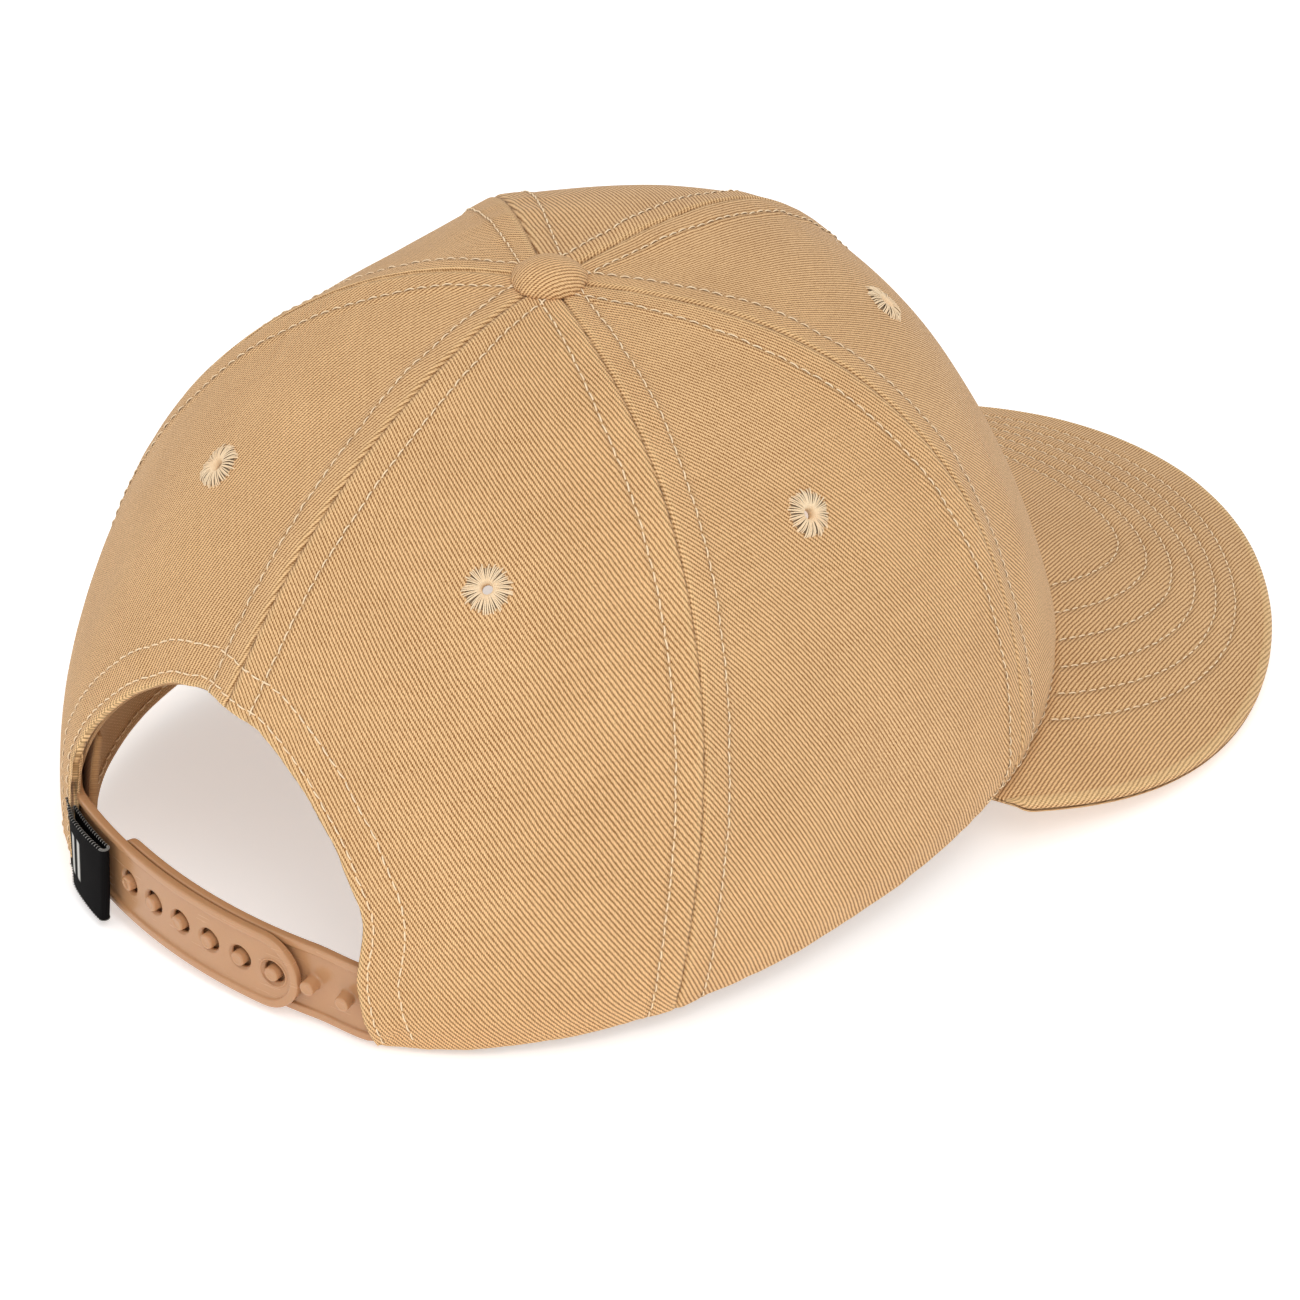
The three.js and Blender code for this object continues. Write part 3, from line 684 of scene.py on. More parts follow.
TAN_HIGH, TAN_LOW = linear(254, 210, 155), linear(134, 85, 37)
finishes = {
    "twill": twill("cotton_twill", TAN_HIGH, TAN_LOW),
    "button_twill": twill("cotton_twill_button", TAN_HIGH, TAN_LOW, seam_shade_and_wear=False),
    "thread": spun("sewing_thread", linear(255, 238, 206), linear(252, 213, 168)),
    "lining": plain_weave("lining_tape", linear(226, 184, 134), linear(166, 120, 74)),
    "band": plain_weave("sweatband_cloth", linear(222, 180, 130), linear(160, 114, 70), 0.55, 0.00014),
    "stiffener": plain_weave("fused_buckram", linear(240, 236, 226), linear(196, 190, 176), 0.9, 0.00018),
    "moulded": moulded("moulded_strap", linear(194, 146, 105), linear(187, 139, 98), 0.24),
    "board": moulded("visor_board_plastic", linear(236, 234, 228), linear(218, 216, 208), 0.5),
    "metal": zinc("plated_shell"),
    "label": label_cloth("woven_label"),
    "label_thread": spun("label_edging", linear(190, 188, 182), linear(70, 68, 66)),
}


def dress(made, finish, body="crown", nodes=()):
    made.data.materials.append(finishes[finish])
    if body:
        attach(made, body)
    if nodes:
        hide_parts(*nodes)
    return made


# ---- crown panels ----
PANELS = (
    ("front_panel_left", 0, 0),
    ("side_panel_left", 1, 1),
    ("back_panel_left", 2, 2),
    ("back_panel_right", 3, 2),
    ("side_panel_right", 4, 1),
    ("front_panel_right", 5, 0),
)


def top_level(phi, radius=4.2):
    """How far up a panel runs: to this distance from the apex."""
    return np.arccos((radius / rim_radius(phi)) ** (1 / around(phi, ROUNDNESS))) * 2 / math.pi


def spacing(length, edge, fine, coarse, both=True):
    """Places along a length, close together near one end or both."""
    near = join([[0, 0.1, 0.28, 0.52, 0.85, 1.25], np.arange(1.75, edge, fine)])
    if both:
        middle = linspace(near[-1] + fine, length - near[-1] - fine, int((length - 2 * near[-1]) / coarse))
        return join([near, middle, (length - near)[::-1]]) / length
    rest = linspace(near[-1] + fine, length, int((length - near[-1]) / coarse))
    return join([near, rest]) / length


def panel_chart(k):
    """Flat (x, y) in millimetres for points of a panel: across from its middle, and up from the rim."""
    us = linspace(0, 1, 61)
    ts = join([linspace(0, 0.1, 21), linspace(0.11, 0.95, 80), 1 - np.geomspace(0.048, 0.0004, 50)])
    lo, hi = seam(k, ts), seam(k + 1, ts)
    phi = lo[None] + (hi - lo)[None] * us[:, None]
    p = crown(phi, ts[None] + 0 * phi)
    across = join([np.zeros((1, len(ts))), np.cumsum(np.linalg.norm(np.diff(p, axis=0), axis=-1), axis=0)])
    across = across - across[30][None]
    up = run_of(p[30])

    def chart(phi, t):
        a, b = seam(k, t), seam(k + 1, t)
        u = clip((phi - a) / (b - a), 0, 1) * 60
        i = clip(u.astype(int), 0, 59)
        f = u - i
        j = clip(np.searchsorted(ts, t, side="right") - 1, 0, len(ts) - 2)
        g = (t - ts[j]) / (ts[j + 1] - ts[j])
        low, high = (across[i, row] * (1 - f) + across[i + 1, row] * f for row in (j, j + 1))
        x = low * (1 - g) + high * g
        return stack([x, np.interp(t, ts, up)], -1), across[-1].max() - across[0].min(), up[-1]

    return chart


CHARTS = [panel_chart(k) for k in range(6)]


def panel_grid(k):
    """The (phi, t) of a panel's grid: side seams left and right, its hem below."""
    us = spacing(96.0, 15.0, 0.62, 1.15)
    vs = spacing(150.0, 12.0, 0.6, 0.95, both=False)
    line = join([linspace(0, 0.95, 500), 1 - np.geomspace(0.05, 0.0004, 300)[1:]])
    middle = (seam(k, line) + seam(k + 1, line)) / 2
    run = crown(middle, line)
    run = run_of(run)
    if k in (2, 3):
        # a back panel's hem follows the opening's edge and then the rim
        top = np.argmin(np.abs(ARCH_PHI - seam(3, ARCH_T)))
        if k == 2:
            rim = linspace(seam(2, 0.0), ARCH_PHI[0], 400)
            hem_phi = join([rim[:-1], ARCH_PHI[: top + 1]])
            hem_t = join([0 * rim[:-1], ARCH_T[: top + 1]])
            corner = 399
        else:
            rim = linspace(ARCH_PHI[-1], seam(4, 0.0), 400)
            hem_phi = join([ARCH_PHI[top:], rim[1:]])
            hem_t = join([ARCH_T[top:], 0 * rim[1:]])
            corner = len(ARCH_PHI) - 1 - top
        hem = crown(hem_phi, hem_t)
        length = run_of(hem)
        share = length / length[-1]
        # one column of the grid ends exactly on the corner
        us = spacing(length[-1], 12.0, 0.7, 1.15)
        us[np.argmin(np.abs(us - share[corner]))] = share[corner]
        low_phi, low_t = np.interp(us, share, hem_phi), np.interp(us, share, hem_t)
        low_share = (low_phi - seam(k, low_t)) / (seam(k + 1, low_t) - seam(k, low_t))
        low_share[0], low_share[-1] = 0, 1
    else:
        low_t, low_share = 0 * us, us
    high_t = top_level(seam(k, 1.0) + (seam(k + 1, 1.0) - seam(k, 1.0)) * us)
    low_run, high_run = np.interp(low_t, line, run), np.interp(high_t, line, run)
    t = np.interp(low_run[:, None] * (1 - vs) + high_run[:, None] * vs, run, line)
    w = low_share[:, None] * (1 - vs) + us[:, None] * vs
    return seam(k, t) + (seam(k + 1, t) - seam(k, t)) * w, t


def sway(p):
    """The crown's gentle unevenness, which every layer shares."""
    return 0.55 * noise(p, 46.0, 1.3) + 0.20 * noise(p, 17.0, 5.1)


def eyelet_at(k, level):
    t = EYELET_LEVEL[level]
    phi = (seam(k, t) + seam(k + 1, t)) / 2
    return float(phi), t


def surface(phi, t):
    """Points on the finished cloth, and the crown's normals there."""
    p, n = skin(phi, t)
    return p + n * relief(p, range(6))[0][..., None], n


GRAIN, VISOR_GRAIN = (-4.4, -4.0, -27.0, 4.5, -4.0, -6.0), -16.0


def turned_grain(flat, degrees):
    """Cloth coordinates for a piece cut at an angle to the grain."""
    c, s = math.cos(degrees * DEG), math.sin(degrees * DEG)
    return stack([flat[..., 0] * c + flat[..., 1] * s, -flat[..., 0] * s + flat[..., 1] * c], -1)


def crown_panels():
    for name, k, level in PANELS:
        phi, t = panel_grid(k)
        p, n = skin(phi, t)
        up, low, crease_shade, ridge = relief(p, (k, k + 1))
        outer = p + n * (up - curl(low, CLOTH))[..., None]
        inner = p + n * (sway(p) - CLOTH + curl(low, CLOTH))[..., None]
        eye_phi, eye_t = eyelet_at(k, level)
        middle = (p[:-1, :-1] + p[1:, 1:]) / 2
        keep = np.linalg.norm(middle - crown(eye_phi, eye_t), axis=-1) > 2.3
        flat, wide, tall = CHARTS[k](phi, t)
        # the crease mark carries painted shade in the seam grooves and stitch lines
        marks = {"crease_shade": crease_shade, "ridge": ridge}
        o = sheet_of(name + "_cloth", outer, inner, turned_grain(flat, GRAIN[k]), marks, keep)
        dress(o, "twill", nodes=[name])


# ---- layers inside the crown ----
def layer(node, phi, t, deep, thick, uv, slot, flat):
    """An inner layer that follows the crown at a depth."""
    p, n = skin(phi, t)
    base = sway(p)
    edge = np.ones(phi.shape) * thick / 2
    edge[0], edge[-1], edge[:, 0], edge[:, -1] = (0.12,) * 4
    outer = p + n * (base - deep - thick / 2 + edge)[..., None]
    inner = p + n * (base - deep - thick / 2 - edge)[..., None]
    o = sheet_of(node + "_layer", outer, inner, uv)
    dress(o, slot, nodes=[node])


def buckrams():
    for name, k in (("front_buckram_left", 0), ("front_buckram_right", 5)):
        us, ts = linspace(0.012, 0.988, 60), join([[0.013, 0.016], linspace(0.022, 0.86, 80)])
        lo, hi = seam(k, ts), seam(k + 1, ts)
        margin = 0.6 / 60
        phi = lo[None] + (hi - lo)[None] * (margin + (1 - 2 * margin) * us[:, None])
        t = ts[None] + 0 * phi
        flat, wide, tall = CHARTS[k](phi, t)
        layer(name, phi, t, 1.5, 0.8, flat, "stiffener", (wide * MM, tall * MM))


TAPES = (
    ("seam_tape_front", 0, 2.6, 0.0),
    ("seam_tape_front_left", 1, 2.6, 0.0),
    ("seam_tape_back_left", 2, 1.5, 0.0),
    ("seam_tape_back", 3, 1.5, ARCH_TOP + 14),
    ("seam_tape_back_right", 4, 1.5, 0.0),
    ("seam_tape_front_right", 5, 2.6, 0.0),
)


def tapes():
    for name, k, deep, start in TAPES:
        low = float(level_at(seam(k, 0.0), rim_height(seam(k, 0.0)) + 1.6 + start))
        ts = linspace(low, 0.925, 110)
        mid = seam(k, ts)
        p = crown(mid, ts)
        r = np.hypot(p[:, 0] - APEX_X, p[:, 1] - APEX_Y)
        across = linspace(-1, 1, 13)
        phi = mid[None] + across[:, None] * (6.0 / r)[None]
        run = run_of(p)
        uv = stack([across[:, None] * 6 + 0 * phi, run[None] + 0 * phi], -1)
        layer(name, phi, ts[None] + 0 * phi, deep, 0.55, uv, "lining", (0.012, run[-1] * MM))


def sweatband():
    start, end = float(ARCH_PHI[-1]) + 0.012, TURN + float(ARCH_PHI[0]) - 0.012
    us = linspace(start, end, 420)
    up = join([[0, 0.15, 0.4, 0.8], linspace(1.4, 30.6, 34), [31.2, 31.6, 31.85, 32]])
    phi = us[:, None] + 0 * up[None]
    z = rim_height(phi) + 0.8 + up[None]
    t = level_at(phi, z)
    p, n = skin(phi, t)
    run = run_of(p[:, 10])
    uv = stack([run[:, None] + 0 * phi, up[None] + 0 * phi], -1)
    # the band is a folded double layer: fuller between its stitch lines
    puff = 0.28 * np.sin(math.pi * clip((up - 3) / 27, 0, 1))[None] ** 0.7
    puff = puff + 0.16 * noise(stack([run[:, None] + 0 * phi, 2.5 * up[None] + 0 * phi, 0 * phi], -1), 9.0)
    edge = 0.75 * np.sqrt(clip(1 - (1 - clip(np.minimum(up, 32 - up) / 0.9, 0, 1)) ** 2, 0.02, 1))[None]
    deep = 4.75 - sway(p)
    outer = p - n * (deep - edge + 0.1)[..., None]
    inner = p - n * (deep + edge + puff)[..., None]
    o = sheet_of("sweatband_layer", outer, inner, uv)
    dress(o, "band", "crown", ["sweatband"])
    return us


def arch_facing():
    a = linspace(1.4 / ARCH_TOP, math.pi - 1.4 / ARCH_TOP, 220)
    out = linspace(0.4, 12.3, 16)
    x = (ARCH_HALF + out[None]) * np.cos(a)[:, None]
    z = np.maximum((ARCH_TOP + out[None]) * np.sin(a)[:, None], 1.0)
    phi, t = back_at(x, z)
    run = run_of(crown(phi[:, 0], t[:, 0]))
    uv = stack([run[:, None] + 0 * phi, out[None] + 0 * phi], -1)
    # a runs towards the wearer's right, so the grid is turned to face out
    phi, t, uv = phi[:, ::-1], t[:, ::-1], uv[:, ::-1]
    layer("arch_facing", phi, t, 1.9, 0.55, uv, "lining", (0.013, run[-1] * 1.12 * MM))


# ---- stitching ----
STITCH_GAP, STITCH_RADIUS, STITCH_RISE, STITCH_WANDER = 0.5, 0.175, 0.25, 0.09


def stitched(bundle, points, normals, seed, pitch=2.6, sides=7):
    """Stitches along a line on the cloth: each comes up, lies along it and goes down again."""
    draw = np.random.RandomState(seed)
    run = run_of(points)
    count = max(1, int(run[-1] / pitch))
    step = run[-1] / count
    side = unit(np.cross(unit(np.gradient(points, axis=0)), normals))
    share = np.array([0.0, 0.06, 0.16, 0.34, 0.5, 0.66, 0.84, 0.94, 1.0])
    for i in range(count):
        a = i * step + STITCH_GAP / 2 + draw.uniform(-0.08, 0.08)
        b = (i + 1) * step - STITCH_GAP / 2 + draw.uniform(-0.08, 0.08)
        tilt = draw.uniform(-1, 1) * STITCH_WANDER * 1.6
        shift = draw.uniform(-1, 1) * STITCH_WANDER
        fat = draw.uniform(0.92, 1.08)
        where = a + (b - a) * share
        lines = (points, normals, side)
        p, n, s = (stack([np.interp(where, run, line[:, c]) for c in range(3)], -1) for line in lines)
        n, s = unit(n), unit(s)
        bow = np.sin(math.pi * share) ** 0.55
        path = p + n * (-0.22 + (STITCH_RISE + 0.22) * bow)[:, None]
        path = path + s * (shift + tilt * (share - 0.5) * 2)[:, None]
        r = STITCH_RADIUS * fat * (0.72 + 0.28 * np.sin(math.pi * share) ** 0.5)
        bundle.add(*tube(path, n, r, sides, 0.85))


def seam_stitching():
    for i in range(6):
        bundle = Bundle()
        low = float(level_at(seam(i, 0.0), rim_height(seam(i, 0.0)) + 0.6))
        if i == 3:
            low = float(ARCH_T[np.argmin(np.abs(ARCH_PHI - seam(3, ARCH_T)))]) + 0.004
        high = float(top_level(seam(i, 1.0), 5.0))
        ts = join([linspace(low, 0.9, 400), 1 - np.geomspace(0.0999, 1 - high, 160)])
        p, n = skin(seam(i, ts), ts)
        run = run_of(p)
        start = np.interp(low, FINE_T, run_of(SEAM_LINES[i]))
        gap = stitch_gap(run + start, SEAM_LENGTHS[i])
        side = unit(np.cross(unit(np.gradient(p, axis=0)), n))
        r = np.hypot(p[:, 0] - APEX_X, p[:, 1] - APEX_Y)
        for s in (-1, 1):
            target = p + side * (s * gap)[:, None]
            phi, t = locate(target, seam(i, ts) + s * gap / np.maximum(r, 3), ts)
            q, m = surface(phi, t)
            far = np.hypot(q[:, 0] - APEX_X, q[:, 1] - APEX_Y) > 5.8
            stitched(bundle, q[far], m[far], seed=10 * i + s + 2)
        bundle.sew("seam_stitches_%d" % i)


def edge_points(a, out):
    """Points on the cloth beside the opening, a distance out from its edge."""
    phi, t = arch_edge(a)
    p, n = skin(phi, t)
    away = unit(np.cross(n, unit(np.gradient(p, axis=0))))
    away = np.where((away * (p - np.array([0, 90, 20]))).sum(-1, keepdims=True) < 0, -away, away)
    phi, t = locate(p + away * out, phi, t)
    return surface(phi, t)


def edge_stitching():
    bundle = Bundle()
    a = linspace(0.012, math.pi - 0.012, 700)
    for out, seed in ((2.1, 71), (8.3, 72)):
        stitched(bundle, *edge_points(a, out), seed=seed)
    bundle.sew("opening_stitches")
    bundle = Bundle()
    # a little past the visor's corners
    reach = 60.9 * DEG
    phi = linspace(-math.pi / 2 - reach, -math.pi / 2 + reach, 700)
    t = level_at(phi, rim_height(phi) + 2.5)
    stitched(bundle, *surface(phi, t), seed=73)
    bundle.sew("visor_seam_stitches")


def band_stitching(us):
    bundle = Bundle()
    for level, seed in ((2.0, 81), (29.2, 82)):
        phi = us[6:-6]
        t = level_at(phi, rim_height(phi) + 0.8 + level)
        p, n = skin(phi, t)
        stitched(bundle, p - n * (4.75 + 0.78 - sway(p))[..., None], -n, pitch=3.0, seed=seed, sides=6)
    bundle.sew("sweatband_stitches")


# ---- eyelets ----
def eyelets():
    draw = np.random.RandomState(31)
    for name, k, level in PANELS:
        bundle = Bundle()
        phi0, t0 = eyelet_at(k, level)
        centre, n0 = skin(phi0, t0)
        e1 = unit(np.cross(np.array([0, 0, 1.0]), n0))
        e2 = np.cross(n0, e1)
        inside = 2.9 if level == 0 else 1.9

        def at(radius, angle, height):
            away = np.cos(angle)[..., None] * e1 + np.sin(angle)[..., None] * e2
            phi, t = locate(centre + radius[..., None] * away, phi0 + 0 * radius, t0 + 0 * radius, 4)
            p, n = skin(phi, t)
            return p + n * (sway(p) + height)[..., None], n

        # the padding under the stitches, a closed ring through the cloth
        ring = [(1.3, -0.5), (1.45, 0.1), (1.8, 0.3), (2.6, 0.38), (3.6, 0.26), (4.2, 0.0)]
        ring += [(4.3, -0.3), (2.6, -0.9)]
        ring += [(r, z - inside) for r, z in ((4.4, 0.45), (3.6, -0.1), (2.2, -0.15), (1.4, 0.25))]
        wide, high = np.array(ring).T
        angle = linspace(0, TURN, 49)[:-1]
        p, _ = at(*np.broadcast_arrays(wide[None], angle[:, None], high[None]))
        index = np.arange(48 * len(ring)).reshape(48, len(ring))
        turned, below = np.roll(index, -1, 0), np.roll(index, -1, 1)
        quads = stack([index, turned, np.roll(turned, -1, 1), below], -1).reshape(-1, 4)
        # this thread coordinate falls on the thread's painted underside shade, so the padding under the
        # stitches is painted dark
        uv = stack([np.repeat(angle, len(ring)), np.full(48 * len(ring), 0.72)], -1)
        bundle.add(p.reshape(-1, 3), quads[:, ::-1], uv=uv)
        count = 58
        for i in range(count):
            a0 = (i + draw.uniform(-0.22, 0.22)) * TURN / count
            reach = 4.75 + draw.uniform(-0.55, 0.42)
            lean = draw.uniform(-0.05, 0.05)
            # over the cloth to the hole, down through it and back out along the inside
            rr = [reach + 0.05, reach - 0.1, reach - 0.5, 3.7, 2.9, 2.1, 1.55, 1.2, 1.12, 1.2, 1.9, 3.0]
            rr = np.array(rr + [reach - 0.6, reach - 0.3])
            hh = join([[-0.3, 0.02, 0.34, 0.60, 0.74, 0.76, 0.62, 0.15, -0.7],
                       np.array([0.3, -0.15, -0.22, -0.1, 0.35]) - inside])
            hh = hh + np.where(np.arange(14) < 6, draw.uniform(-0.16, 0.14), 0)
            aa = a0 + lean * (rr - 1.2) / 3.5
            p, n = at(rr, aa, hh)
            away = unit(p - centre)
            step = np.arange(14)[:, None]
            normal = np.where((step > 6) & (step < 10), -away + 0.2 * n, n)
            normal = np.where(step >= 10, -n, normal)
            radius = np.interp(rr, [1.1, 2.0, 3.5, 5.0], [0.10, 0.13, 0.155, 0.155])
            bundle.add(*tube(p, normal, radius, 6))
        short = name.replace("_panel", "")
        bundle.sew("eyelet_%s_thread" % short, ["eyelet_" + short])


# ---- button ----
def button():
    over = [(0.0, 4.25), (0.8, 4.24), (1.8, 4.15), (2.9, 3.95), (4.0, 3.6), (5.0, 3.1), (5.9, 2.45)]
    edge = [(6.6, 1.75), (7.1, 1.1), (7.35, 0.6), (7.42, 0.2), (7.3, -0.12), (7.0, -0.3), (6.6, -0.3)]
    under = [(6.2, 0.0), (5.6, 1.2), (4.4, 2.2), (2.9, 2.9), (1.2, 3.2), (0.0, 3.25)]
    rings = np.array(over + edge + under)
    fine = linspace(0, len(rings) - 1, 96)
    knots = np.arange(len(rings))
    r, z = (np.interp(fine, knots, rings[:, c]) for c in (0, 1))
    for _ in range(3):
        r[1:-1], z[1:-1] = (r[:-2] + 2 * r[1:-1] + r[2:]) / 4, (z[:-2] + 2 * z[1:-1] + z[2:]) / 4
    r[0] = r[-1] = 0.0
    turn = linspace(0, TURN, 145)[:-1]
    a, rr = turn[:, None], r[None]
    pleat = 0.10 * np.sin(17 * a) + 0.08 * np.sin(29 * a + 1) + 0.10 * np.sin(5 * a)
    pleat = smooth((rr - 5.6) / 1.6) * pleat
    wide = rr + np.where(z[None] > -0.2, pleat, 0.0) + 0.10 * np.sin(2 * a + 0.7) * smooth(rr / 6)
    x, y = wide * np.cos(a), wide * np.sin(a)
    height = z[None] + 0.10 * noise(stack([x, y, 0 * x], -1), 4.0) * (z[None] > 0.5) + 0 * a
    base = crown(0.5, 0.955)[2] - 0.15
    p = stack([x - 0.5, y + APEX_Y, height + max(base, HEIGHT - 1.0) + 0.35], -1)
    index = np.arange(144 * 96).reshape(144, 96)
    nxt = np.roll(index, -1, 0)
    quads = stack([index[:, 1:-2], index[:, 2:-1], nxt[:, 2:-1], nxt[:, 1:-2]], -1).reshape(-1, 4)
    top, low = 144 * 96, 144 * 96 + 1
    points = join([p.reshape(-1, 3), p[:1, 0], p[:1, -1]])
    tris = join([
        stack([np.full(144, top), index[:, 1], nxt[:, 1]], -1),
        stack([np.full(144, low), nxt[:, -2], index[:, -2]], -1),
    ])
    over = join([[0], np.cumsum(np.hypot(np.diff(r), np.diff(z)))])
    uv = stack([(over[None] * np.cos(a + 0.9)).ravel(), (over[None] * np.sin(a + 0.9)).ravel()], -1)
    uv = join([uv, [[0, 0], [0, 0]]])
    used = np.unique(join([quads.ravel(), tris.ravel()]))
    remap = np.full(len(points), -1)
    remap[used] = np.arange(len(used))
    o = mesh_of("button_cloth", to_row(points[used]), remap[quads], remap[tris], uv[used])
    dress(o, "button_twill", nodes=["button_cover"])


# ---- visor ----
CORNER, VISOR_LENGTH, VISOR_HALF, VISOR_POWER, CORNER_PULL = 57.49 * DEG, 69.17, 95.17, 2.038, 4.80
SKIN, EDGE_ROLL = 0.8, 1.9
UP = np.array([0.0, 0.0, 1.0])


def visor(u, v):
    """A point of the visor's top: u from -1 to 1 across, v from 0 at the crown to 1 at the edge."""
    u, v = np.broadcast_arrays(np.asarray(u, float), np.asarray(v, float))
    phi = -math.pi / 2 + u * CORNER
    r = rim_radius(phi)
    inset = clip(-v, 0, 1) * 5.6
    xi, yi = (r - inset) * np.cos(phi), (r - inset) * np.sin(phi)
    rc = float(rim_radius(-math.pi / 2 + CORNER))
    xc, yc = rc * math.sin(CORNER), -rc * math.cos(CORNER)
    e, th = 2 / VISOR_POWER, u * math.pi / 2
    xo = np.sign(th) * np.abs(np.sin(th)) ** e * VISOR_HALF
    yo = yc - (RIM_FRONT + VISOR_LENGTH + yc) * np.abs(np.cos(th)) ** e
    k = np.abs(u) ** CORNER_PULL
    xo = xo * (1 - k) + np.sign(u) * xc * k
    w = clip(v, 0, 1)
    x, y = xi * (1 - w) + xo * w, yi * (1 - w) + yo * w
    z = LIFT - BEND * x * x - math.tan(PITCH) * np.maximum(0, r * np.sin(phi) - y)
    return stack([x, y, z], -1)


def visor_normal(u, v):
    e = 1e-3
    u = clip(u, -0.997, 0.997)
    v = clip(v, 0.002, 0.99)
    return unit(np.cross(visor(u + e, v) - visor(u - e, v), visor(u, v + e) - visor(u, v - e))) * -1


def visor_row(k, count=420):
    """The (u, v) of stitch row k, 0 outermost."""
    wide, deep = 0.745 - 0.074 * k, 0.862 - 0.077 * k
    a = linspace(-1, 1, count)
    u = wide * np.sign(a) * (1 - (1 - np.abs(a)) ** 1.6)
    v = deep * (1 - np.abs(u / wide) ** 7)
    return u, clip(v, 0, 1)


def visor_relief(p, rows, seed, depth):
    up = 0.10 * noise(p, 26.0, seed) + 0.04 * noise(p, 6.0, seed + 2)
    for line in rows:
        d, along = nearest(p, line)
        wave = noise1(along, 2.7, seed) + 0.5 * noise1(along, 1.7, seed + 4)
        up = up - depth * bell(d, 0.62) + 0.09 * bell(d - 1.9, 1.1)
        up = up + 0.045 * wave * bell(d - 1.2, 1.3)
    return up


def visor_covers():
    us = np.sin(linspace(-1, 1, 381) * math.pi / 2 * 0.86) / math.sin(math.pi / 2 * 0.86)
    vs = join([[-1, -0.7, -0.4, -0.15, 0.0], linspace(0.012, 1, 116)])
    u, v = us[:, None] + 0 * vs[None], vs[None] + 0 * us[:, None]
    edge = visor(us, 1.0)
    out = unit(np.cross(UP, unit(np.gradient(edge, axis=0))))
    out = np.where((out * (edge - np.array([0, -90, 0]))).sum(-1, keepdims=True) < 0, -out, out)[:, None]
    # how far in from the edge each column's cloth lies, so that the fold ends on the outline
    span = np.linalg.norm(edge - visor(us, 0.0), axis=-1)
    inset = np.minimum(EDGE_ROLL, 0.45 * span)
    reach = inset[:, None, None]
    shrink = clip(v, 0, 1) ** 3 * (inset / np.maximum(span, 1))[:, None]
    base = visor(u, np.where(v > 0, v - shrink, v))
    turn = linspace(0, 1, 15)[1:]
    # the two covers come together at the corners, beyond the board
    deep = (1.5 + 2.6 * smooth((1 - np.abs(us)) / 0.034))[:, None]
    half = (deep[:, :, None] - 0.3) / 2
    centre = base[:, -1:] - UP * (0.3 + half)
    rows = [visor(*visor_row(k)) for k in range(6)]
    # painted shade darkens the stitch lines, the joint to the crown and the edge seam, and the fold is worn
    # paler
    crease_shade = 0.6 * bell(nearest(base, RIM_LINE)[0], 0.8)
    for line in rows:
        crease_shade = np.maximum(crease_shade, 0.40 * bell(nearest(base, line)[0], 0.5))
    crease_shade = np.pad(crease_shade, ((0, 0), (0, len(turn))))
    # painted shade where the two covers turn in and meet at the edge seam
    crease_shade[:, -2:] = 0.8
    ridge = np.zeros(crease_shade.shape)
    ridge[:, len(vs) : len(vs) + 9] = 0.8
    flat = stack([base[..., 0] * (1 + 0.0000027 * base[..., 0] ** 2), base[..., 1] / math.cos(PITCH)], -1)
    for part, seed in (("top", 3.0), ("bottom", 13.0)):
        up = visor_relief(base, rows, seed, 0.30 if part == "top" else 0.22)
        # the relief fades out at the edge
        up = up * smooth((1 - v) / 0.03)
        if part == "top":
            body = base + UP * (up - 0.3)[..., None]
            inside = base + UP * (up * 0.4 - 0.3 - SKIN)[..., None]
            angle, sign = turn * 110 * DEG, 1
        else:
            body = base - UP * (deep + up)[..., None]
            inside = base - UP * (deep - SKIN + up * 0.4)[..., None]
            angle, sign = turn * 70 * DEG, -1
        c, s = np.cos(angle)[None, :, None], np.sin(angle)[None, :, None]
        ruffle = 0.05 * noise1(np.arange(len(us)) * 0.6, 3.0, seed)[:, None, None]
        roll = centre + sign * UP * half * c + out * (reach + ruffle) * s
        close = (half - SKIN) / half
        roll_in = centre + sign * UP * half * close * c + out * np.maximum(reach - SKIN, 0.1) * s
        # the covers are sewn face to face: both turn in at the seam
        dip = (clip((turn - 0.86) / 0.14, 0, 1) ** 2 * 0.45)[None, :, None]
        outer, inner = join([body, roll - out * dip], 1), join([inside, roll_in], 1)
        extra = (turn * 3.0)[None] + 0 * us[:, None]
        fx = join([flat[..., 0], flat[:, -1:, 0] + out[..., 0] * extra], 1)
        fy = join([flat[..., 1], flat[:, -1:, 1] + out[..., 1] * extra], 1)
        grained = turned_grain(stack([fx * sign, fy], -1), VISOR_GRAIN) * 1.1
        # the columns run so that each cover's outer face looks out
        order = slice(None, None, -sign)
        marks = {"crease_shade": crease_shade[order], "ridge": ridge[order]}
        o = sheet_of("visor_%s_cloth" % part, outer[order], inner[order], grained[order], marks)
        dress(o, "twill", nodes=["visor_cover_" + part])
    bundle, under = Bundle(), Bundle()
    for k in range(6):
        ru, rv = visor_row(k)
        p = visor(ru, rv)
        m = visor_normal(ru, clip(rv, 0.01, 0.98))
        m = np.where(m[..., 2:] < 0, -m, m)
        ok = rv > 0.004
        lift = visor_relief(p, rows, 3.0, 0.30)
        stitched(bundle, (p + m * (lift - 0.3)[:, None])[ok], m[ok], 40 + k, 2.75)
        lift = visor_relief(p, rows, 13.0, 0.22)
        low = p - np.array([0, 0, 4.1]) - m * lift[:, None]
        stitched(under, low[ok], -m[ok], 50 + k, 2.75, sides=6)
    bundle.sew("visor_stitches_top")
    under.sew("visor_stitches_bottom")


# ---- snap strap ----
STRAP_R, STRAP_Y, STRAP_HALF = 115.0, 97.5, 8.5
PEG_FIRST, PEG_PITCH = 20.4, 8.1


def strap_level(s):
    return 10.5 + 0.042 * s


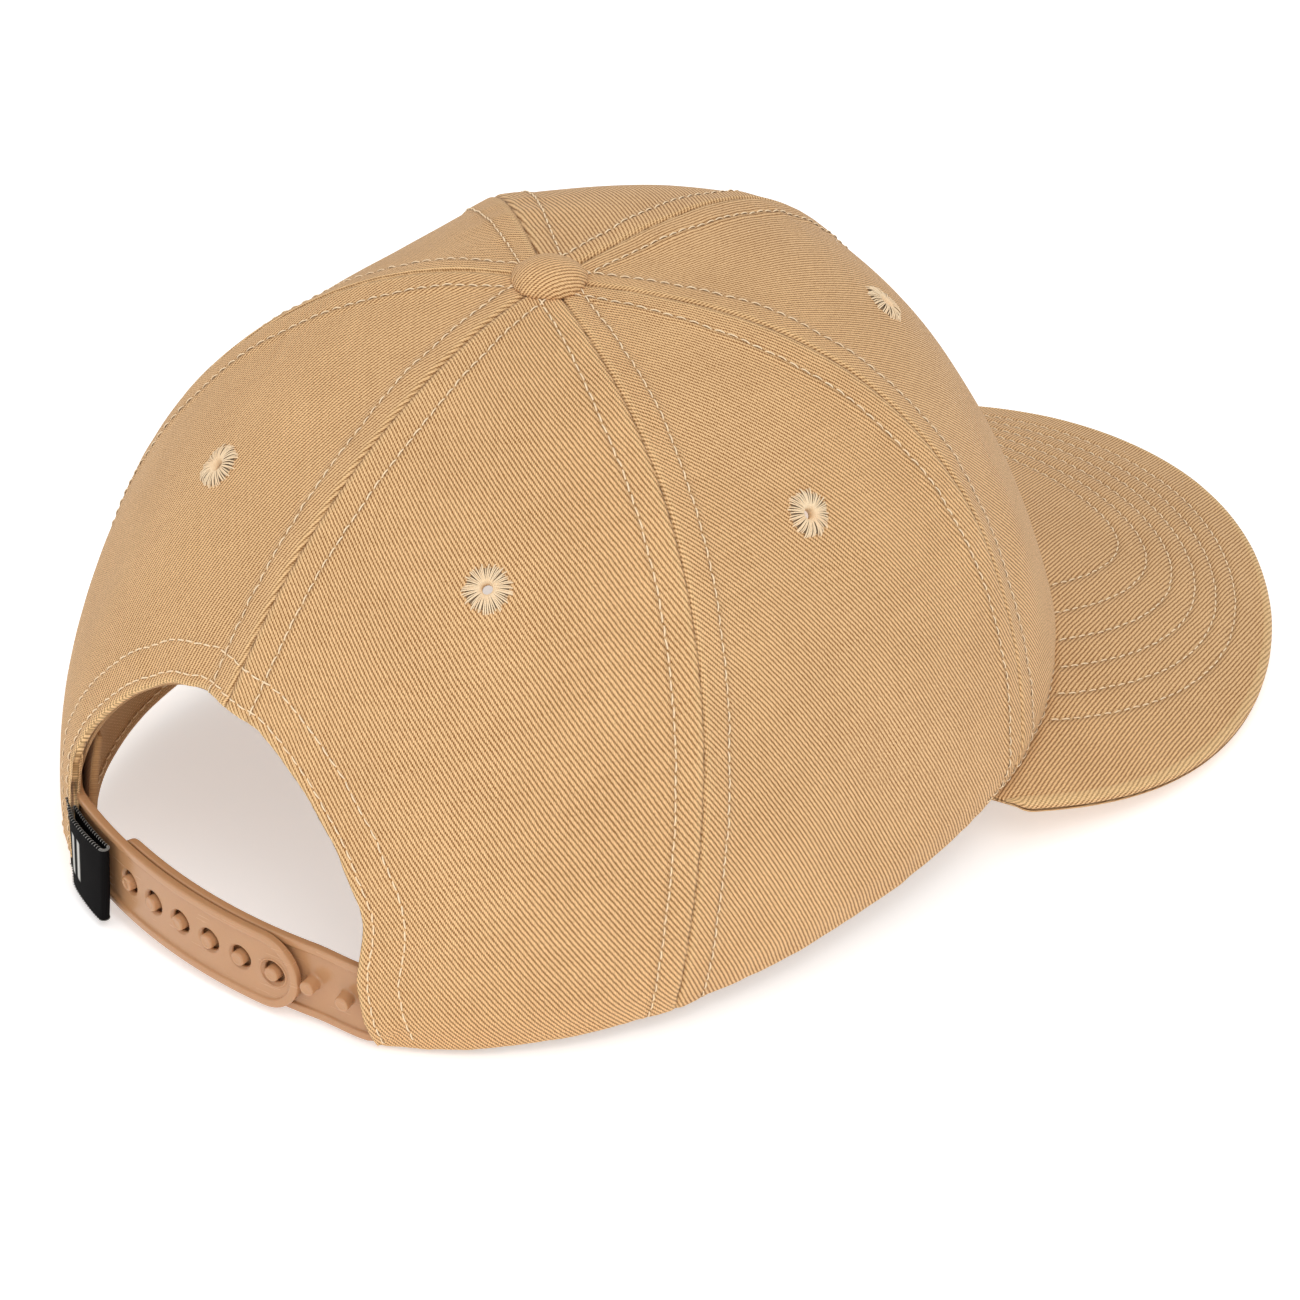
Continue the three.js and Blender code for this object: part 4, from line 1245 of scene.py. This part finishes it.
def strap_map(p, side, jog):
    """Strap coordinates (along, outward, up from its middle line) to the crown frame."""
    s, w, z = p[:, 0], p[:, 1], p[:, 2]
    height = strap_level(s) + z
    a = s / STRAP_R
    r = STRAP_R + w + jog(s)
    free = stack([r * np.sin(a), STRAP_Y - STRAP_R + r * np.cos(a), height], -1)
    x = side * (43.6 + (np.abs(s) - 43) * 0.94)
    phi, t = back_at(x, np.maximum(height, 0.6))
    held = crown(phi, t) - crown_normal(phi, t) * (3.35 - 0.5 * (w - (1.05 if side > 0 else -1.05)))[:, None]
    held[:, 2] = height
    m = smooth((side * s - 39.5) / 8)[:, None]
    return free * (1 - m) + held * m


def bands(start, rows, count):
    """The quads between rows of points, each row a closed ring."""
    index = start + np.arange(rows * count).reshape(rows, count)
    turned = np.roll(index, -1, 1)
    return stack([index[:-1], turned[:-1], turned[1:], index[1:]], -1).reshape(-1, 4).tolist()


def strap(name, root, tip, low, jog, features, nodes, nose=STRAP_HALF, power=2.0):
    """A moulded strap with a raised border: rings of points from its back face to its field."""
    way = 1 if tip > root else -1
    side = 1 if root > 0 else -1
    half, high = STRAP_HALF, low + 1.8
    centre = tip - way * nose
    along = int(abs(centre - root) / 1.6)

    def outline(o):
        h = half - o
        run = linspace(root, centre, along)
        arc = linspace(-90, 90, 38)[1:-1] * DEG
        ends = linspace(h, -h, 9)[1:-1]
        ahead, across = np.cos(arc) ** (2 / power), np.sign(arc) * np.abs(np.sin(arc)) ** (2 / power)
        return join([
            stack([run, -h + 0 * run], -1),
            stack([centre + way * (nose - o) * ahead, h * across], -1),
            stack([run[::-1], h + 0 * run], -1),
            stack([root + 0 * ends, ends], -1),
        ])

    field = high - 0.62
    # inset from the outline, and outward place: the back's edge, the border and down to the field
    profile = [(0.55, low), (0.22, low + 0.03), (0.06, low + 0.14), (0.0, low + 0.4)]
    border = [(0.0, 0.42), (0.07, 0.16), (0.24, 0.04), (0.5, 0.0), (1.45, 0.0), (1.66, 0.05), (1.8, 0.18)]
    profile += [(o, high - w) for o, w in border]
    profile += [(1.86, field + 0.2), (1.95, field + 0.06), (2.1, field), (2.35, field)]
    points, quads, tris = [], [], []
    rings = [outline(o) for o, _ in profile]
    size = len(rings[0])
    for (o, w), ring in zip(profile, rings):
        points += [(s, w, z) for s, z in ring]
    quads += bands(0, len(profile), size)
    front_loops = [[(len(profile) - 1) * size + i for i in range(size)]]
    back_loops = [list(range(size))]
    front_clear, back_clear = [], []
    for s0, steps, through in features:
        count = 32
        circle = [(math.cos(TURN * i / count), math.sin(TURN * i / count)) for i in range(count)]
        start = len(points)
        for r, w in steps:
            points += [(s0 + r * c, w, r * q) for c, q in circle]
        quads += bands(start, len(steps), count)
        front_loops.append([start + i for i in range(count)])
        front_clear.append((s0, steps[0][0]))
        last = start + (len(steps) - 1) * count
        if through:
            back_loops.append([last + i for i in range(count)])
            back_clear.append((s0, steps[-1][0]))
        else:
            points.append((s0, steps[-1][1] + 0.02, 0.0))
            tris += [(last + i, last + (i + 1) % count, len(points) - 1) for i in range(count)]
    front = (front_loops, front_clear, field, profile[-1][0])
    back = (back_loops, back_clear, low, profile[0][0])
    for loops, clear, w, inset in (front, back):
        ids = [i for loop in loops for i in loop]
        flat = [(points[i][0], points[i][2]) for i in ids]
        edges, base = [], 0
        for loop in loops:
            edges += [(base + i, base + (i + 1) % len(loop)) for i in range(len(loop))]
            base += len(loop)
        h = half - inset

        def within(s, z, margin):
            ok = abs(z) < h - margin and (s - root) * way > margin
            past = (s - centre) * way
            if ok and past > 0:
                ok = (past / (nose - inset - margin)) ** power + (abs(z) / (h - margin)) ** power < 1
            return ok and all((s - c) ** 2 + z * z > (r + margin) ** 2 for c, r in clear)

        for s in np.arange(min(root, tip) + 1, max(root, tip), 1.9):
            for z in np.arange(-7, 7.1, 2.0):
                if within(s, z, 0.7):
                    flat.append((float(s), float(z)))
                    ids.append(len(points))
                    points.append((float(s), w, float(z)))
        made = delaunay_2d_cdt([Vector(q) for q in flat], edges, [], 0, 1e-6)
        origin = [o[0] for o in made[3]]
        for face in made[2]:
            c = sum((made[0][i] for i in face), Vector((0, 0))) / len(face)
            if within(c.x, c.y, 0.0):
                tris.append(tuple(ids[origin[i]] for i in face))
    points = np.array(points)
    o = mesh_of(name, to_row(strap_map(points, side, jog)), quads, tris, points[:, [0, 2]])
    face_out(o)
    dress(o, "moulded", None, nodes)
    return o


def still(s):
    return 0.0 * s


def inwards(s):
    """The peg strap draws in behind the other."""
    return 1.6 * smooth((-s - 28) / 14)


def row_point(s, w, side, jog):
    return tuple(float(c) for c in to_row(strap_map(np.array([[s, w, 0.0]]), side, jog))[0])


def straps():
    low, high = 0.15, 1.95
    field = high - 0.62
    holes = []
    for i in range(6):
        rim = [(3.05, 0.0), (2.85, 0.01), (2.72, -0.06)]
        if i == 5:
            # the last hole has a raised lip
            rim = [(3.4, 0.0), (3.3, 0.03), (3.22, 0.2), (3.12, 0.26)]
            rim += [(3.0, 0.26), (2.9, 0.2), (2.84, 0.02), (2.72, -0.08)]
        rim = [(r, field + w) for r, w in rim + [(2.52, -0.3), (2.36, -0.42), (2.3, -0.6)]]
        rim += [(2.3, low + 0.2), (2.42, low + 0.04), (2.7, low)]
        holes.append((PEG_FIRST - i * PEG_PITCH, rim, True))
    one = strap("hole_strap_moulding", 57.0, -26.0, low, still, holes, ["hole_strap", "hole_strap_root"])
    start, end = row_point(43.5, 1.0, 1, still), row_point(33.0, 1.0, 1, still)
    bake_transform(one)
    low = -1.95
    field = low + 1.8 - 0.62
    pegs = []
    for i in range(8):
        post = [(2.3, field), (2.0, field + 0.02), (1.78, field + 0.1)]
        post += [(1.62, field + 0.32), (1.56, field + 0.7)]
        post += [(1.54, 1.9), (1.5, 2.12), (1.38, 2.27), (1.15, 2.34), (0.85, 2.33), (0.7, 2.27), (0.5, 2.25)]
        pegs.append((PEG_FIRST - i * PEG_PITCH, post, False))
    nodes = ["peg_strap", "peg_strap_root"]
    two = strap("peg_strap_moulding", -57.0, 25.4, low, inwards, pegs, nodes, 6.5, 3.0)
    start, end = row_point(-43.5, -1.0, -1, inwards), row_point(-33.0, -1.0, -1, inwards)
    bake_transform(two)


# ---- side label ----
def side_label():
    near, far, cloth, tall = 2.35, 4.1, 0.42, 16.2
    root, tip = 43.4, 24.0
    radius = (far - near) / 2
    stop = tip + radius
    bow = lambda s: math.sin(math.pi * (root - s) / (root - stop))
    path = [(s, near + 0.2 * bow(s)) for s in linspace(root, stop, 22)]
    fold = linspace(0, math.pi, 15)[1:-1]
    path += [(stop - radius * math.sin(a), near + radius * (1 - math.cos(a))) for a in fold]
    back = linspace(stop, root, 22)
    path += [(s, far + 0.35 * bow(s) - 1.2 * float(1 - smooth((root - s) / 7))) for s in back]
    path = np.array(path)
    # the tab leaves the hem between its layers and stands off towards its fold
    path[:, 1] += 0.7 * smooth((root - path[:, 0]) / (root - tip))
    direction = unit(np.gradient(path, axis=0))
    out = stack([direction[:, 1], -direction[:, 0]], -1)
    rows = join([[0, 0.12, 0.35], linspace(0.8, tall - 0.8, 34), [tall - 0.35, tall - 0.12, tall]])
    run = run_of(path)

    def place(offset):
        q = path[:, None, :] + out[:, None, :] * offset[None, :, None]
        s, w, z = q[..., 0], q[..., 1], np.broadcast_to(rows[None], q.shape[:2])
        free = smooth((root - s) / (root - tip))
        wave = 0.16 * noise(stack([s, z, w], -1), 6.0) * smooth((root - s) / 4) + (1 - z / tall) * free
        a, r = s / STRAP_R, STRAP_R + w + wave
        slump = 0.5 * free * (1 - z / tall)
        return stack([r * np.sin(a), STRAP_Y - STRAP_R + r * np.cos(a), 2.1 + z - slump], -1)

    ends = np.minimum(rows, tall - rows)
    thin = cloth / 2 * np.sqrt(clip(1 - (1 - clip(ends / 0.35, 0, 1)) ** 2, 0.05, 1))
    x, y = run[:, None] + 0 * rows[None], rows[None] + 0 * run[:, None]
    face = path[:, 0][:, None] + 0 * rows[None]
    front = (np.arange(len(path)) > 30)[:, None]
    bar = lambda c: (np.abs(face - c) < 0.6) & (np.abs(y - 8.0) < 4.4) & front
    pale = (bar(36.4) | bar(33.6)).astype(float)
    o = sheet_of("side_label_cloth", place(-thin), place(thin), stack([x, y], -1), {"pale": pale})
    face_out(o)
    start, end = row_point(42.6, 1.0, 1, still), row_point(38.6, 1.0, 1, still)
    dress(o, "label", None, ["side_label"])
    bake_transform(o)
    # whipped edges along the top and the bottom of the tab
    bundle = Bundle()
    middle = place(0 * rows)
    for column, sign in ((-1, 1.0), (0, -1.0)):
        line = middle[:, column]
        for value in linspace(0, len(line) - 1.001, 62):
            i = int(value)
            f = value - i
            base = line[i] * (1 - f) + line[i + 1] * f
            q = out[i] * (1 - f) + out[i + 1] * f
            a = path[i, 0] / STRAP_R
            c, s = math.cos(a), math.sin(a)
            normal = np.array([q[0] * c + q[1] * s, -q[0] * s + q[1] * c, 0.0])
            turn = linspace(-0.15, math.pi + 0.15, 8)
            upright = [0, 0, sign]
            ring = base + np.outer(np.cos(turn) * 0.32, normal)
            ring = ring + np.outer(np.sin(turn) * 0.24 - 0.28, upright)
            ring = ring + np.outer(linspace(-0.1, 0.1, 8), [1, 0, 0])
            away = np.outer(np.cos(turn), normal) + np.outer(np.sin(turn), upright)
            bundle.add(*tube(ring, away, 0.10, 5))
    edging = bundle.build("side_label_edging")
    dress(edging, "label_thread", None)
    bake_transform(edging)


# ---- the cap ----
crown_panels()
buckrams()
tapes()
band = sweatband()
arch_facing()
seam_stitching()
edge_stitching()
band_stitching(band)
eyelets()
button()
visor_covers()
straps()
side_label()
for node, finish in (("button_shell", "metal"), ("button_rivet", "metal"), ("visor_board", "board")):
    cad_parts[node].data.materials.clear()
    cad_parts[node].data.materials.append(finishes[finish])

# ---- floor, light and camera ----
size = 3.0
corners = [(x * size, y * size, -0.0012) for x, y in ((-1, -1), (1, -1), (1, 1), (-1, 1))]
floor = mesh_of("floor", np.array(corners), [(0, 1, 2, 3)])
g = Graph("floor_white", Specular_IOR_Level=0.1)
g.shader.inputs["Emission Color"].default_value = (1, 1, 1, 1)
g.shader.inputs["Emission Strength"].default_value = 0.45
pale = g.mix(g.ranged(g.noise(g.place(), 3.0), 0.3, 0.7), (0.88, 0.88, 0.88, 1), (0.92, 0.92, 0.92, 1))
g.finish(pale, None, None)
floor.data.materials.append(g.material)

scene = bpy.context.scene
world = bpy.data.worlds.new("studio")
scene.world = world
world.use_nodes = True
world.node_tree.nodes["Background"].inputs[0].default_value = (1, 1, 1, 1)
world.node_tree.nodes["Background"].inputs[1].default_value = 0.62
scene.view_settings.view_transform = "Standard"


def softbox(name, azimuth, elevation, distance, width, power, aim=(0.0, 0.0, 0.05)):
    light = bpy.data.lights.new(name, "AREA")
    light.shape, light.size, light.energy = "SQUARE", width, power
    a, e = azimuth * DEG, elevation * DEG
    back = Vector((math.sin(a) * math.cos(e), -math.cos(a) * math.cos(e), math.sin(e)))
    o = bpy.data.objects.new(name, light)
    scene.collection.objects.link(o)
    o.location = Vector(aim) + back * distance
    o.rotation_mode = "QUATERNION"
    o.rotation_quaternion = back.to_track_quat("Z", "Y")


softbox("key", 232, 46, 1.5, 0.7, 5.5)
softbox("fill", 165, 30, 1.8, 1.2, 2.5)
softbox("top", 215, 80, 1.6, 1.2, 4.5)

camera = bpy.data.cameras.new("camera")
camera.sensor_width, camera.lens = 36.0, 210.65
camera.clip_start, camera.clip_end = 0.05, 20.0
viewer = bpy.data.objects.new("camera", camera)
scene.collection.objects.link(viewer)
scene.camera = viewer
azimuth, elevation, roll, reach = 223.0641 * DEG, 30.6389 * DEG, 2.0913 * DEG, 1540.82
level = math.cos(elevation)
back = np.array([math.sin(azimuth) * level, -math.cos(azimuth) * level, math.sin(elevation)])
right0 = np.array([math.cos(azimuth), math.sin(azimuth), 0.0])
up0 = np.cross(back, right0)
right = math.cos(roll) * right0 + math.sin(roll) * up0
up = -math.sin(roll) * right0 + math.cos(roll) * up0
where = (np.array([-3.4067, 16.803, 25.0805]) + back * reach) * MM
viewer.matrix_world = Matrix([[right[i], up[i], back[i], where[i]] for i in range(3)] + [[0, 0, 0, 1]])
